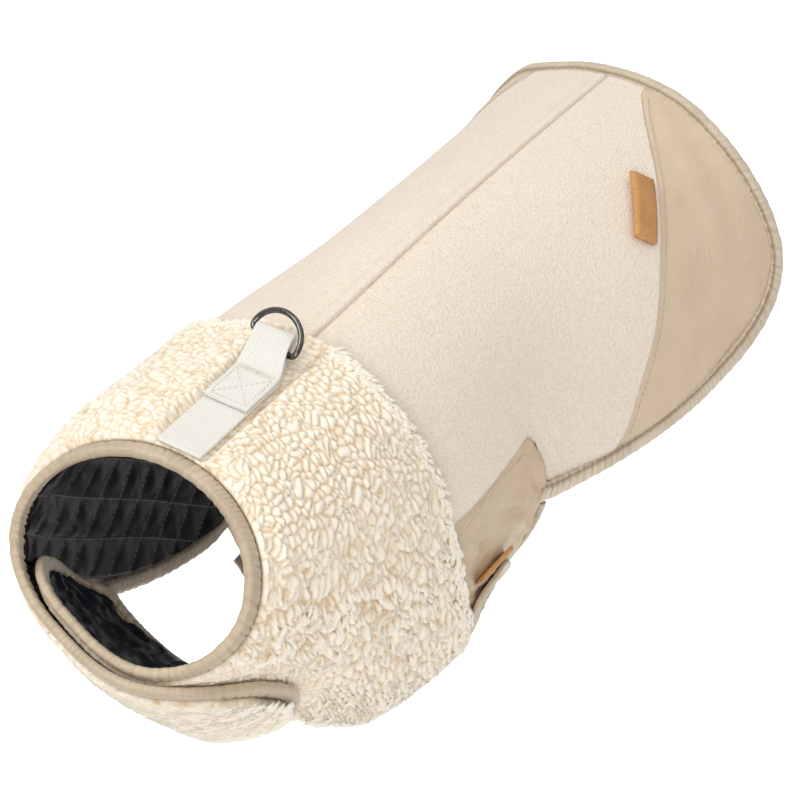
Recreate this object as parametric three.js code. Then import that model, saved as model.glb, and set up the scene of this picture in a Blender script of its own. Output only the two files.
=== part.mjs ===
// Dog winter coat, worn shape with nobody in it.
// Fleece back in two halves, long-pile yoke with chest flaps, smooth rump and side panels,
// a quilted lining, gathered satin bindings, and a leash ring in a webbing loop at the withers.
// Millimetres, +Z up, neck opening towards -Y, tail towards +Y, the left side towards +X.
// The origin is on the inner face of the back at the withers, where the coat rests on the wearer.

import * as THREE from 'three';

// Driving sizes

const WITHERS = 130;            // from the neck edge to the origin, along the back
const SHELL = { inner: -2, outer: 0 };          // fleece and other outer cloth, lift from the form
const LINING = { inner: -5.9, outer: -3.3 };    // quilted lining
const FLAP_LINING = { inner: -4.7, outer: -3 };
const QUILT_DEPTH = 1.4;
const PILE_TOP = 6.5;           // long pile of the yoke
const PILE_PRESSED = 1.2;       // where the webbing presses it down
const PILE_FLAP = 4;            // on the outer chest flap
const PILE_UNDER_FLAP = 2.2;    // where one chest flap lies on the other
const SEAM_GAP = 0.25;          // each panel stops this far short of its seam
const BINDING_WIDTH = 8.4;
const HEM_BINDING_WIDTH = 9.6;
const BINDING_GAP = 0.8;
const GATHER_PITCH = 10;        // one gather wave of a binding
const WEBBING = { width: 24.5, atRing: 21.4, thickness: 1.6 };
const RING = { wire: 3, bar: 31, depth: 15.4, corner: 2.4, tilt: 46 };
const FLAP_CURL = 17;           // how far the rear edge of the inner flap curls inwards
const OUTER_TUCK = 8;           // how far the rear edge of the outer flap is drawn in
const FLAP_RISE = 7.6;          // how far the outer chest flap stands off the inner one
const SAG = 8.5;                // how far the left side hangs off the figure at the leg opening
const BESIDE_NECK = 6.5;        // how far the right side stands off it behind the neck
const TIGHT_BELLY = 6;          // how far the belly pieces are drawn in
const STRAP_RISE = 3.9;         // how far the belly strap stands off the flap below it

const DEGREES = Math.PI / 180;

// The general figure that the coat is cut for: one row for each ring along the back.
// top is the height of the back seam, half the half width, widest how far below the seam
// it is widest, depth the distance from the seam to the underside; lean tips a ring so that
// its lower part comes forward, turn rolls it a little and skew sets its far side back.
const RINGS = [
  { along: 0, top: 0.2, lean: 35, turn: -6, skew: 0, half: 66.5, widest: 52, depth: 100 },
  { along: 45, top: 2.2, lean: 23, turn: -5, skew: 0, half: 74, widest: 72.5, depth: 151 },
  { along: 95, top: 4.2, lean: 13, turn: -4, skew: 0, half: 81, widest: 91, depth: 196 },
  { along: 150, top: 6.7, lean: 9.5, turn: -4, skew: 0, half: 84, widest: 104, depth: 223 },
  { along: 230, top: 10.7, lean: 5, turn: -2, skew: 0, half: 88.5, widest: 114, depth: 226 },
  { along: 310, top: 12.2, lean: -2, turn: 4, skew: 0.06, half: 104, widest: 121, depth: 223 },
  { along: 370, top: 12.2, lean: -7, turn: 6.5, skew: 0.12, half: 113, widest: 123, depth: 219 },
  { along: 425, top: 11.7, lean: -8, turn: 7.5, skew: 0.17, half: 118, widest: 125, depth: 215 },
];

// Smooth curve through a table's column, straight on past both ends
function smooth(table, key, column, at) {
  const last = table.length - 1;
  const slope = (i) => {
    const a = table[Math.max(0, i - 1)];
    const b = table[Math.min(last, i + 1)];
    return (b[column] - a[column]) / (b[key] - a[key]);
  };
  if (at <= table[0][key]) return table[0][column] + slope(0) * (at - table[0][key]);
  if (at >= table[last][key]) return table[last][column] + slope(last) * (at - table[last][key]);
  let i = 0;
  while (at > table[i + 1][key]) i += 1;
  const span = table[i + 1][key] - table[i][key];
  const t = (at - table[i][key]) / span;
  const start = table[i][column] * (2 * t ** 3 - 3 * t ** 2 + 1);
  const leaving = slope(i) * span * (t ** 3 - 2 * t ** 2 + t);
  const end = table[i + 1][column] * (3 * t ** 2 - 2 * t ** 3);
  const arriving = slope(i + 1) * span * (t ** 3 - t ** 2);
  return start + leaving + end + arriving;
}

// Point of the form: along the back from the neck edge, and an angle round from the back seam
// (positive to the left side, 180 at the middle of the belly)
function bareForm(along, angle) {
  const ring = {};
  for (const column of ['top', 'lean', 'turn', 'skew', 'half', 'widest', 'depth']) {
    ring[column] = smooth(RINGS, 'along', column, along);
  }
  const across = ring.half * Math.sin(angle * DEGREES);
  const rise = Math.cos(angle * DEGREES);
  const below = rise > 0 ? ring.widest * (1 - rise) : ring.widest - (ring.depth - ring.widest) * rise;
  const turn = ring.turn * DEGREES;
  const lean = ring.lean * DEGREES;
  const x = across * Math.cos(turn) + below * Math.sin(turn);
  const down = below * Math.cos(turn) - across * Math.sin(turn);
  const y = along - WITHERS - down * Math.sin(lean) - ring.skew * x;
  return new THREE.Vector3(x, y, ring.top - down * Math.cos(lean));
}

function formFrame(along, angle) {
  const step = 0.5;
  const lengthwise = bareForm(along + step, angle).sub(bareForm(along - step, angle)).normalize();
  const round = bareForm(along, angle + step).sub(bareForm(along, angle - step)).normalize();
  const outward = new THREE.Vector3().crossVectors(round, lengthwise).normalize();
  return { lengthwise, round, outward };
}

function form(along, angle, lift) {
  return bareForm(along, angle).addScaledVector(formFrame(along, angle).outward, lift);
}

function ease(from, to, value) {
  const t = Math.min(1, Math.max(0, (value - from) / (to - from)));
  return t * t * (3 - 2 * t);
}

// Closed meshes from lists of corners and faces

function solid(corners, faces) {
  let volume = 0;
  for (const [a, b, c] of faces) {
    volume += corners[a].dot(new THREE.Vector3().crossVectors(corners[b], corners[c]));
  }
  const outward = volume > 0 ? faces : faces.map(([a, b, c]) => [a, c, b]);
  const geometry = new THREE.BufferGeometry();
  const places = corners.flatMap((p) => [p.x, p.y, p.z]);
  geometry.setAttribute('position', new THREE.Float32BufferAttribute(places, 3));
  geometry.setIndex(outward.flat());
  geometry.computeVertexNormals();
  return geometry;
}

// A wall of cloth between two faces of a grid. spot(row, column) gives the place on the form
// and the lift of both faces; split(row, column) turns the diagonal of a cell.
function wall(rows, columns, spot, split = () => false) {
  const corners = [];
  for (const face of ['outer', 'inner']) {
    for (let i = 0; i <= rows; i += 1) {
      for (let j = 0; j <= columns; j += 1) {
        const place = spot(i, j);
        corners.push(form(place.along, place.angle, place[face]));
      }
    }
  }
  const layer = (rows + 1) * (columns + 1);
  const at = (i, j) => i * (columns + 1) + j;
  const faces = [];
  const quad = (a, b, c, d, turned) => {
    if (turned) faces.push([a, b, d], [b, c, d]);
    else faces.push([a, b, c], [a, c, d]);
  };
  for (let i = 0; i < rows; i += 1) {
    for (let j = 0; j < columns; j += 1) {
      const cell = [at(i, j), at(i, j + 1), at(i + 1, j + 1), at(i + 1, j)];
      const turned = split(i, j);
      quad(cell[0], cell[1], cell[2], cell[3], turned);
      const under = cell.map((k) => k + layer);
      if (turned) faces.push([under[0], under[3], under[1]], [under[1], under[3], under[2]]);
      else faces.push([under[0], under[2], under[1]], [under[0], under[3], under[2]]);
    }
  }
  const rim = [];
  for (let j = 0; j < columns; j += 1) rim.push(at(0, j));
  for (let i = 0; i < rows; i += 1) rim.push(at(i, columns));
  for (let j = columns; j > 0; j -= 1) rim.push(at(rows, j));
  for (let i = rows; i > 0; i -= 1) rim.push(at(i, 0));
  rim.forEach((a, k) => {
    const b = rim[(k + 1) % rim.length];
    faces.push([a, a + layer, b], [b, a + layer, b + layer]);
  });
  return solid(corners, faces);
}

// Rings of points joined into a bar, closed on itself or capped at both ends
function loft(rings, closed) {
  const size = rings[0].length;
  const faces = [];
  const last = closed ? rings.length : rings.length - 1;
  for (let i = 0; i < last; i += 1) {
    const next = (i + 1) % rings.length;
    for (let j = 0; j < size; j += 1) {
      const k = (j + 1) % size;
      const [a, b, c, d] = [i * size + j, i * size + k, next * size + k, next * size + j];
      faces.push([a, b, c], [a, c, d]);
    }
  }
  if (!closed) {
    const tail = (rings.length - 1) * size;
    for (let j = 1; j < size - 1; j += 1) {
      faces.push([0, j + 1, j], [tail, tail + j, tail + j + 1]);
    }
  }
  return solid(rings.flat(), faces);
}

// Borders are lists of { along, angle }; both borders of a panel have as many points

// A border drawn smoothly through its points, with a few more between them
function flowing(border, parts) {
  const out = [];
  const last = border.length - 1;
  const through = (key, i, t) => {
    const before = border[Math.max(0, i - 1)][key];
    const a = border[i][key];
    const b = border[i + 1][key];
    const after = border[Math.min(last, i + 2)][key];
    const bend = 2 * a + (b - before) * t + (2 * before - 5 * a + 4 * b - after) * t * t
      + (3 * a - before - 3 * b + after) * t ** 3;
    return bend / 2;
  };
  for (let i = 0; i < last; i += 1) {
    for (let k = 0; k < parts; k += 1) {
      out.push({ along: through('along', i, k / parts), angle: through('angle', i, k / parts) });
    }
  }
  out.push({ along: border[last].along, angle: border[last].angle });
  return out;
}

function pointBetween(a, b, t) {
  return { along: a.along + (b.along - a.along) * t, angle: a.angle + (b.angle - a.angle) * t };
}

function mirror(border) {
  return border.map(({ along, angle }) => ({ along, angle: -angle }));
}

function shift(border, along, angle) {
  return border.map((p) => ({ along: p.along + along, angle: p.angle + angle }));
}

// Seams and edges, from the neck edge and round from the back seam

// the yoke: where its neck edge and its rear edge lie, column by column; from 110 round it
// turns the corner into the leg opening, and past 124 it is the chest flap
const YOKE_BODY = [
  { neckAngle: 0, rear: 110, rearAngle: 0 },
  { neckAngle: 6, rear: 109.5, rearAngle: 5 },
  { neckAngle: 12, rear: 109, rearAngle: 9.8 },
  { neckAngle: 15.2, rear: 109, rearAngle: 12.4 },
  { neckAngle: 23, rear: 109, rearAngle: 20 },
  { neckAngle: 28.5, rear: 110, rearAngle: 26.5 },
  { neckAngle: 34, rear: 111, rearAngle: 33 },
  { neckAngle: 40, rear: 113, rearAngle: 41 },
  { neckAngle: 46, rear: 116, rearAngle: 49.5 },
  { neckAngle: 58, rear: 124, rearAngle: 66 },
  { neckAngle: 70, rear: 133, rearAngle: 82 },
  { neckAngle: 79, rear: 140, rearAngle: 89 },
  { neckAngle: 87, rear: 153, rearAngle: 101 },
];
// the left side hangs lower than the right one, which is pulled up by the flap
const LEG_CORNER = {
  left: [
    { neckAngle: 96, rear: 169, rearAngle: 115 },
    { neckAngle: 105, rear: 184, rearAngle: 130 },
    { neckAngle: 110, rear: 166, rearAngle: 136 },
    { neckAngle: 115, rear: 140, rearAngle: 138 },
    { neckAngle: 120, rear: 112, rearAngle: 138.5 },
    { neckAngle: 125, rear: 88, rearAngle: 138.5 },
    { neckAngle: 130, rear: 71, rearAngle: 140 },
    { neckAngle: 137, rear: 60, rearAngle: 146 },
  ],
  right: [
    { neckAngle: 95, rear: 171, rearAngle: 114 },
    { neckAngle: 101, rear: 176.5, rearAngle: 120 },
    { neckAngle: 105, rear: 160, rearAngle: 121.5 },
    { neckAngle: 109, rear: 132, rearAngle: 121.5 },
    { neckAngle: 113, rear: 104, rearAngle: 121.5 },
    { neckAngle: 117, rear: 82, rearAngle: 122 },
    { neckAngle: 121, rear: 66, rearAngle: 125 },
    { neckAngle: 127, rear: 57, rearAngle: 132 },
  ],
};
const SEAM_END = YOKE_BODY.length + 1;          // last yoke column on the seam to the side panel
// the inner chest flap goes on across the chest and ends on the right side
const INNER_FLAP = [
  { neckAngle: 148, neck: 4.5, rear: 55, rearAngle: 155 },
  { neckAngle: 164, neck: 4.5, rear: 53, rearAngle: 168 },
  { neckAngle: 181, neck: 4.5, rear: 47, rearAngle: 183 },
  { neckAngle: 198, neck: 4.5, rear: 42, rearAngle: 198 },
  { neckAngle: 214, neck: 4.5, rear: 39, rearAngle: 213 },
  { neckAngle: 227, neck: 8, rear: 36, rearAngle: 226 },
  { neckAngle: 235, neck: 15, rear: 29, rearAngle: 235 },
];
// the outer chest flap, counted round its own side, ends on the left side and slants back
const OUTER_FLAP = [
  { neckAngle: 145, neck: 4.5, rear: 47, rearAngle: 146 },
  { neckAngle: 165, neck: 4.5, rear: 40, rearAngle: 165 },
  { neckAngle: 185, neck: 4.5, rear: 42, rearAngle: 185 },
  { neckAngle: 203, neck: 5, rear: 49, rearAngle: 201 },
  { neckAngle: 218, neck: 9, rear: 55, rearAngle: 216 },
  { neckAngle: 229, neck: 17, rear: 57, rearAngle: 228 },
  { neckAngle: 236, neck: 29, rear: 47, rearAngle: 236 },
];
const NECK_EDGE = 4.5;

// side panel: its top seam below the fleece, front border along the yoke and the leg opening
const SIDE_FRONT = {
  left: [
    { along: 133, angle: 82 },
    { along: 140, angle: 89 },
    { along: 147, angle: 95.5 },
    { along: 153, angle: 101 },
    { along: 169, angle: 115 },
    { along: 184.5, angle: 130 },
  ],
  right: [
    { along: 133, angle: 82 },
    { along: 140, angle: 89 },
    { along: 147, angle: 95.5 },
    { along: 153, angle: 101 },
    { along: 171, angle: 114 },
    { along: 178.5, angle: 121.5 },
  ],
};
const SIDE_REAR = [
  { along: 209, angle: 76 },
  { along: 217, angle: 84 },
  { along: 220, angle: 91 },
  { along: 218, angle: 97 },
  { along: 214, angle: 108 },
  { along: 215, angle: 121.5 },
];
const SIDE_TOP_MIDDLE = { along: 171, angle: 78.3 };
// the inner belly flap crosses the middle and ends under the strap
const BELLY_FLAP = {
  front: [
    { along: 191, angle: 140 },
    { along: 194, angle: 152 },
    { along: 195, angle: 168 },
    { along: 195, angle: 184 },
    { along: 198, angle: 193 },
    { along: 204, angle: 197 },
  ],
  rear: [
    { along: 220, angle: 136 },
    { along: 224, angle: 150 },
    { along: 227, angle: 168 },
    { along: 228, angle: 184 },
    { along: 226, angle: 193 },
    { along: 219, angle: 197 },
  ],
};
// the belly strap, counted round its own side, slants forward and ends on the left flank
const BELLY_STRAP = {
  front: [
    { along: 184, angle: 134 },
    { along: 189, angle: 150 },
    { along: 193, angle: 168 },
    { along: 195, angle: 190 },
    { along: 195, angle: 210 },
    { along: 194, angle: 228 },
    { along: 186, angle: 237 },
    { along: 181, angle: 244 },
    { along: 185, angle: 247 },
  ],
  rear: [
    { along: 219, angle: 134 },
    { along: 224, angle: 150 },
    { along: 227, angle: 168 },
    { along: 227, angle: 190 },
    { along: 225, angle: 210 },
    { along: 221, angle: 228 },
    { along: 214, angle: 237 },
    { along: 204, angle: 244 },
    { along: 198, angle: 247 },
  ],
};

// hem of the panels, from the side panel back along the flank, round the rump to the back seam
const HEM_FLANK = [
  { along: 226, angle: 92.5 },
  { along: 240, angle: 93.5 },
  { along: 257, angle: 93.9 },
  { along: 264.5, angle: 93.9 },
];
const HEM_RUMP = {
  left: [
    { along: 275, angle: 93.6 },
    { along: 290, angle: 92.8 },
    { along: 312, angle: 90.9 },
    { along: 338, angle: 88 },
    { along: 363, angle: 84.8 },
    { along: 390.5, angle: 79 },
    { along: 408, angle: 71.7 },
    { along: 415.5, angle: 63.4 },
    { along: 420.5, angle: 52 },
    { along: 425, angle: 38 },
    { along: 429.5, angle: 24 },
  ],
  right: [
    { along: 275, angle: 93.6 },
    { along: 290, angle: 92.8 },
    { along: 312, angle: 90.9 },
    { along: 338, angle: 88 },
    { along: 363, angle: 84.8 },
    { along: 392.5, angle: 79 },
    { along: 413, angle: 71.7 },
    { along: 425, angle: 62.5 },
    { along: 433, angle: 52 },
    { along: 437, angle: 42 },
    { along: 436.5, angle: 33 },
  ],
};
const HEM_TAIL = {
  left: [
    { along: 429.5, angle: 13.5 },
    { along: 429, angle: 6.5 },
    { along: 428.5, angle: 0 },
  ],
  right: [
    { along: 432.5, angle: 26 },
    { along: 430, angle: 12 },
    { along: 428.5, angle: 0 },
  ],
};
// seam between the fleece and the rump panel, from the flank hem up to the tail hem
const RUMP_SEAM = {
  left: [
    { along: 266.5, angle: 93.8 },
    { along: 273, angle: 89.6 },
    { along: 284, angle: 79 },
    { along: 301, angle: 68 },
    { along: 321, angle: 56 },
    { along: 337, angle: 48 },
    { along: 350, angle: 42 },
    { along: 363, angle: 36.5 },
    { along: 380, angle: 29 },
    { along: 402, angle: 20.5 },
    { along: 421, angle: 14.5 },
  ],
  right: [
    { along: 266.5, angle: 93.8 },
    { along: 273, angle: 89.6 },
    { along: 284, angle: 79 },
    { along: 301, angle: 69 },
    { along: 321, angle: 60 },
    { along: 337, angle: 54 },
    { along: 350, angle: 49.5 },
    { along: 363, angle: 45 },
    { along: 380, angle: 39.5 },
    { along: 402, angle: 32.5 },
    { along: 421, angle: 27 },
  ],
};

// Materials

function finish(color, roughness, metalness = 0) {
  return new THREE.MeshStandardMaterial({ color, roughness, metalness });
}

const cloth = {
  fleece: finish(0xece2d5, 0.95),
  pile: finish(0xf3e7d3, 1),
  panel: finish(0xcab89e, 0.6),
  binding: finish(0xbeac92, 0.5),
  lining: finish(0x1c1616, 0.4),
  webbing: finish(0xf6f4ec, 0.9),
  leather: finish(0xcb985c, 0.55),
  metal: finish(0x3a3a3c, 0.25, 1),
};

const coat = new THREE.Group();

function add(name, geometry, material) {
  const mesh = new THREE.Mesh(geometry, material);
  mesh.name = name;
  coat.add(mesh);
}

// How far a chest flap is set off the form: the inner one sinks in towards the right side,
// the outer one stands off towards the left. round is counted from the back seam on the left.
function flapShare(round) {
  return ease(150, 206, round);
}

function flapOffset(side, angle, along) {
  if (side === 'right') {
    const underChest = ease(126, 150, angle) * (1 - ease(178, 208, angle));
    const tuck = underChest * ease(6, 40, along) * (1 - ease(58, 82, along));
    return FLAP_RISE * (1 - flapShare(360 - angle)) - OUTER_TUCK * tuck;
  }
  const acrossChest = ease(124, 154, angle) * (1 - ease(222, 242, angle));
  const curl = acrossChest * ease(8, 52, along) * (1 - ease(58, 82, along));
  return -FLAP_RISE * flapShare(angle) - FLAP_CURL * curl;
}

// Little locks of the pile, so that the surface isn't smooth
function locks(along, angle) {
  return 0.7 * Math.sin(along * 0.55 + angle * 0.31) * Math.sin(angle * 0.43 - along * 0.2);
}

function pileLift(side, along, angle) {
  const acrossSeam = angle * DEGREES * smooth(RINGS, 'along', 'half', along);
  const besideWebbing = Math.max(ease(13.6, 17.3, acrossSeam), ease(100, 108, along));
  const onFlap = side === 'left' ? 0 : ease(112, 128, angle);
  const atEdge = 0.35 + 0.65 * ease(4, 24, along);
  const full = (PILE_TOP + (PILE_FLAP - PILE_TOP) * onFlap + locks(along, angle)) * atEdge;
  const open = PILE_PRESSED + (full - PILE_PRESSED) * besideWebbing;
  if (side === 'right') return open;
  const underFlap = ease(104, 118, angle) * (1 - ease(68, 84, along));
  return open + (PILE_UNDER_FLAP - open) * underFlap;
}

// The sides of the yoke stand off the general figure: the left one sags towards the leg opening,
// the right one is pushed up beside the neck
function sag(side, along, angle) {
  if (side === 'left') {
    const low = ease(96, 136, angle) * (1 - ease(142, 196, angle));
    const tight = ease(186, 206, along) * ease(102, 128, angle);
    const rearShare = 1 - ease(180, 204, along);
    return SAG * low * ease(72, 120, along) * rearShare - TIGHT_BELLY * tight;
  }
  if (angle > 160) return sag('left', along, 360 - angle);
  const tail = 4.5 * ease(372, 428, along) * ease(14, 38, angle);
  const beside = ease(20, 44, angle) * (1 - ease(84, 108, angle));
  const behindNeck = ease(4, 40, along) * (1 - ease(112, 245, along));
  const tight = ease(186, 206, along) * ease(102, 128, angle);
  return tail + BESIDE_NECK * beside * behindNeck - TIGHT_BELLY * tight;
}

// Yokes and chest flaps

const YOKE_ROWS = 8;

function yokeBorders(side) {
  const columns = YOKE_BODY.concat(LEG_CORNER[side]);
  const body = columns.map((row, k) => ({ ...row, neck: NECK_EDGE, seam: k <= SEAM_END }));
  const flap = (side === 'left' ? INNER_FLAP : OUTER_FLAP).map((row) => ({ ...row, seam: false }));
  const rows = body.concat(flap);
  const half = side === 'left' ? 1 : -1;
  const front = rows.map((row) => ({ along: row.neck, angle: row.neckAngle + SEAM_GAP }));
  const rear = rows.map((row) => ({
    along: row.rear - (row.seam ? SEAM_GAP : 0),
    angle: row.rearAngle + SEAM_GAP,
  }));
  const denser = (border) => border.slice(0, SEAM_END).concat(flowing(border.slice(SEAM_END), 2));
  return { front: denser(front), rear: denser(rear), half, legCorner: SEAM_END + 1 };
}

function yoke(side) {
  const { front, rear, half } = yokeBorders(side);
  const columns = front.length - 1;
  return wall(YOKE_ROWS, columns, (i, j) => {
    const place = pointBetween(front[j], rear[j], i / YOKE_ROWS);
    const offset = flapOffset(side, place.angle, place.along) + sag(side, place.along, place.angle);
    return {
      along: place.along,
      angle: half * place.angle,
      inner: SHELL.inner + offset,
      outer: pileLift(side, place.along, place.angle) + offset,
    };
  });
}

add('yoke_left', yoke('left'), cloth.pile);
add('yoke_right', yoke('right'), cloth.pile);

// Fleece back halves: from the yoke to the hem, down to the side panel, the hem and the rump seam

const BACK_ROWS = 9;
const BACK_START = 110;         // where the back seam of the fleece begins

function backLower(side) {
  return [
    { along: 133, angle: 82 },
    SIDE_TOP_MIDDLE,
    ...SIDE_REAR.slice(0, 3),
    ...HEM_FLANK,
    ...RUMP_SEAM[side],
    HEM_TAIL[side][0],
  ];
}

// Yoke edge of the fleece at an angle
function yokeRear(angle) {
  return smooth(YOKE_BODY, 'rearAngle', 'rear', angle);
}

// Folds: a dent where the side panel pulls at the fleece, and long slack waves on the flanks
function backFold(along, angle) {
  const dent = -1.6 * Math.exp(-(((along - 214) / 13) ** 2) - ((angle - 70) / 10) ** 2);
  const slack = 1.1 * Math.sin(along * 0.045 + 1.1) * ease(35, 75, angle);
  return dent + slack;
}

function back(side) {
  const half = side === 'left' ? 1 : -1;
  const lower = backLower(side);
  const count = lower.length - 1;
  const tail = HEM_TAIL[side];
  return wall(count, BACK_ROWS, (i, j) => {
    const t = j / BACK_ROWS;
    const evenly = i / count;
    const byLength = (lower[i].along - lower[0].along) / (lower[count].along - lower[0].along);
    const share = 0.4 * evenly + 0.6 * byLength;
    const seam = { along: BACK_START + (tail[2].along - BACK_START) * share, angle: SEAM_GAP };
    const gap = i < 6 || i > 8 ? SEAM_GAP : 0;
    const place = pointBetween(seam, { along: lower[i].along, angle: lower[i].angle - gap }, t);
    const straight = pointBetween({ along: BACK_START, angle: 0 }, lower[0], t);
    place.along += (yokeRear(straight.angle) - straight.along) * Math.max(0, 1 - evenly * 4);
    place.along += SEAM_GAP * (1 - evenly);
    const fold = backFold(place.along, place.angle) + sag(side, place.along, place.angle);
    return {
      along: place.along,
      angle: half * place.angle,
      inner: SHELL.inner + fold,
      outer: SHELL.outer + fold,
    };
  });
}

add('back_left', back('left'), cloth.fleece);
add('back_right', back('right'), cloth.fleece);

// Rump panels between the rump seam and the hem

const RUMP_ROWS = 5;

function rump(side) {
  const half = side === 'left' ? 1 : -1;
  const seam = shift(RUMP_SEAM[side], 2 * SEAM_GAP, SEAM_GAP);
  const hem = HEM_RUMP[side];
  return wall(RUMP_ROWS, seam.length - 1, (i, j) => {
    const place = pointBetween(seam[j], hem[j], i / RUMP_ROWS);
    const fold = backFold(place.along, place.angle) + sag(side, place.along, place.angle);
    return {
      along: place.along,
      angle: half * place.angle,
      inner: SHELL.inner + fold,
      outer: SHELL.outer - 0.4 + fold,
    };
  });
}

add('rump_left', rump('left'), cloth.panel);
add('rump_right', rump('right'), cloth.panel);

// Side panels with the belly flap on the left and the belly strap on the right

const SIDE_ROWS = 6;

function strapOffset(side, angle) {
  if (side === 'left') return 0;
  return STRAP_RISE * ease(138, 152, angle);
}

function sideBorders(side) {
  const under = side === 'left' ? BELLY_FLAP : BELLY_STRAP;
  const front = shift(SIDE_FRONT[side], 2 * SEAM_GAP, SEAM_GAP).concat(under.front);
  const rear = SIDE_REAR.concat(under.rear);
  const corner = SIDE_FRONT[side].length - 1;
  const denser = (border) => border.slice(0, corner).concat(flowing(border.slice(corner), 2));
  return { front: denser(front), rear: denser(rear), corner };
}

function sidePanel(side) {
  const half = side === 'left' ? 1 : -1;
  const { front, rear } = sideBorders(side);
  return wall(SIDE_ROWS, front.length - 1, (i, j) => {
    const t = i / SIDE_ROWS;
    const place = pointBetween(front[j], rear[j], t);
    const bulge = SIDE_TOP_MIDDLE.angle - (SIDE_FRONT[side][0].angle + SIDE_REAR[0].angle) / 2;
    const top = Math.max(0, 1 - j);
    place.angle += top * (bulge * (1 - Math.abs(2 * t - 1)) + 2 * SEAM_GAP);
    place.along -= 2 * SEAM_GAP * t * (j < 4 ? 1 : 0);
    const wrinkle = 0.6 + 0.6 * Math.sin(place.angle * 0.21 + place.along * 0.16);
    const crumple = wrinkle * ease(84, 96, place.angle) * (1 - ease(118, 130, place.angle));
    const offset = strapOffset(side, place.angle) + crumple + sag(side, place.along, place.angle);
    return {
      along: place.along,
      angle: half * place.angle,
      inner: SHELL.inner + offset,
      outer: SHELL.outer - 0.2 + offset,
    };
  });
}

add('side_left', sidePanel('left'), cloth.panel);
add('side_right', sidePanel('right'), cloth.panel);

// Quilted lining of the body: its diamonds are raised on the face that touches the wearer

const LINING_ROWS = 28;
const LINING_COLUMNS = 14;

const LINING_LEG = {
  left: [
    { along: NECK_EDGE, angle: 122 },
    { along: 56, angle: 127 },
    { along: 80, angle: 136.5 },
    { along: 112, angle: 138 },
    { along: 166, angle: 135 },
    { along: 183, angle: 130 },
  ],
  right: [
    { along: NECK_EDGE, angle: 120 },
    { along: 60, angle: 121.3 },
    { along: 120, angle: 121.3 },
    { along: 178, angle: 121.3 },
  ],
};

// Lower border of the lining, from the neck edge along the leg opening and round the hem
function liningLower(side) {
  const leg = side === 'left' ? LINING_LEG.left : LINING_LEG.right;
  return [
    ...leg,
    { along: 211, angle: 121 },
    { along: 213.5, angle: 108 },
    { along: 217, angle: 97 },
    ...HEM_FLANK,
    ...HEM_RUMP[side],
    ...HEM_TAIL[side],
  ];
}

// The lining stops a little inside the bindings
const LINING_SHORT = { along: 1.4, angle: 1.8 };
const LINING_CLEAR = 1.2;       // the lining hangs this much freer where a side stands off the figure

// A point at a share of a border's length
function pointAlong(border, share) {
  const lengths = [0];
  for (let k = 1; k < border.length; k += 1) {
    const run = border[k].along - border[k - 1].along;
    const drop = (border[k].angle - border[k - 1].angle) * 1.6;
    lengths.push(lengths[k - 1] + Math.hypot(run, drop));
  }
  const goal = share * lengths[lengths.length - 1];
  let k = 1;
  while (k < border.length - 1 && lengths[k] < goal) k += 1;
  return pointBetween(border[k - 1], border[k], (goal - lengths[k - 1]) / (lengths[k] - lengths[k - 1]));
}

// The lower border is followed as far as the rump's corner; the tail hem is the last row
function lining(side) {
  const half = side === 'left' ? 1 : -1;
  const lower = shift(liningLower(side), 0, -LINING_SHORT.angle);
  const corner = lower.length - 5 - HEM_TAIL[side].length;
  const flank = lower.slice(0, corner + 1);
  const tail = lower.slice(corner).reverse();
  return wall(LINING_ROWS, LINING_COLUMNS, (i, j) => {
    const s = i / LINING_ROWS;
    const t = j / LINING_COLUMNS;
    const seam = pointBetween({ along: NECK_EDGE, angle: 0 }, { along: tail[0].along, angle: 0 }, s);
    const place = pointBetween(seam, pointAlong(flank, s), t);
    const straight = pointBetween(tail[0], tail[tail.length - 1], t);
    const hem = pointAlong(tail, t);
    const weight = Math.max(0, (s - 0.6) / 0.4);
    place.along += (hem.along - straight.along - LINING_SHORT.along) * weight;
    place.angle += (hem.angle - straight.angle) * weight + SEAM_GAP;
    const raised = (i + j) % 2 === 1 && i > 0 && j > 0 && i < LINING_ROWS && j < LINING_COLUMNS;
    const stand = sag(side, place.along, place.angle) + flapOffset(side, place.angle, place.along);
    const offset = stand - LINING_CLEAR * Math.min(1, Math.abs(stand) / 1.5);
    return {
      along: place.along,
      angle: half * place.angle,
      inner: LINING.inner + (raised ? 0 : QUILT_DEPTH) + offset,
      outer: LINING.outer + Math.min(0, backFold(place.along, place.angle)) + offset,
    };
  }, (i, j) => (i + j) % 2 === 1);
}

add('lining_left', lining('left'), cloth.lining);
add('lining_right', lining('right'), cloth.lining);

// Lining of the chest flaps

const FLAP_ROWS = 4;

function flapLining(side) {
  const half = side === 'left' ? 1 : -1;
  const { front, rear, legCorner } = yokeBorders(side);
  const first = legCorner + 9;
  const top = LINING_LEG[side][0];
  const head = [{ along: top.along, angle: top.angle + 1 }].concat(front.slice(first + 1));
  const bottom = LINING_LEG[side][1];
  const foot = [{ along: bottom.along + 1, angle: bottom.angle + 3 }].concat(rear.slice(first + 1));
  return wall(FLAP_ROWS, head.length - 1, (i, j) => {
    const place = pointBetween(head[j], foot[j], i / FLAP_ROWS);
    const offset = flapOffset(side, place.angle, place.along);
    const edge = i === 0 || j === 0 || i === FLAP_ROWS || j === head.length - 1;
    const raised = (i + j) % 2 === 1 && !edge;
    return {
      along: place.along,
      angle: half * place.angle,
      inner: FLAP_LINING.inner + (raised ? 0 : QUILT_DEPTH / 2) + offset,
      outer: FLAP_LINING.outer + offset,
    };
  }, (i, j) => (i + j) % 2 === 1);
}

add('flap_lining_left', flapLining('left'), cloth.lining);
add('flap_lining_right', flapLining('right'), cloth.lining);

// Fell of the back seam, a narrow raised strip on the fleece

const FELL = { width: 7.5, bottom: 0.3, top: 1.9, from: 112, to: 424, steps: 20 };

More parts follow.
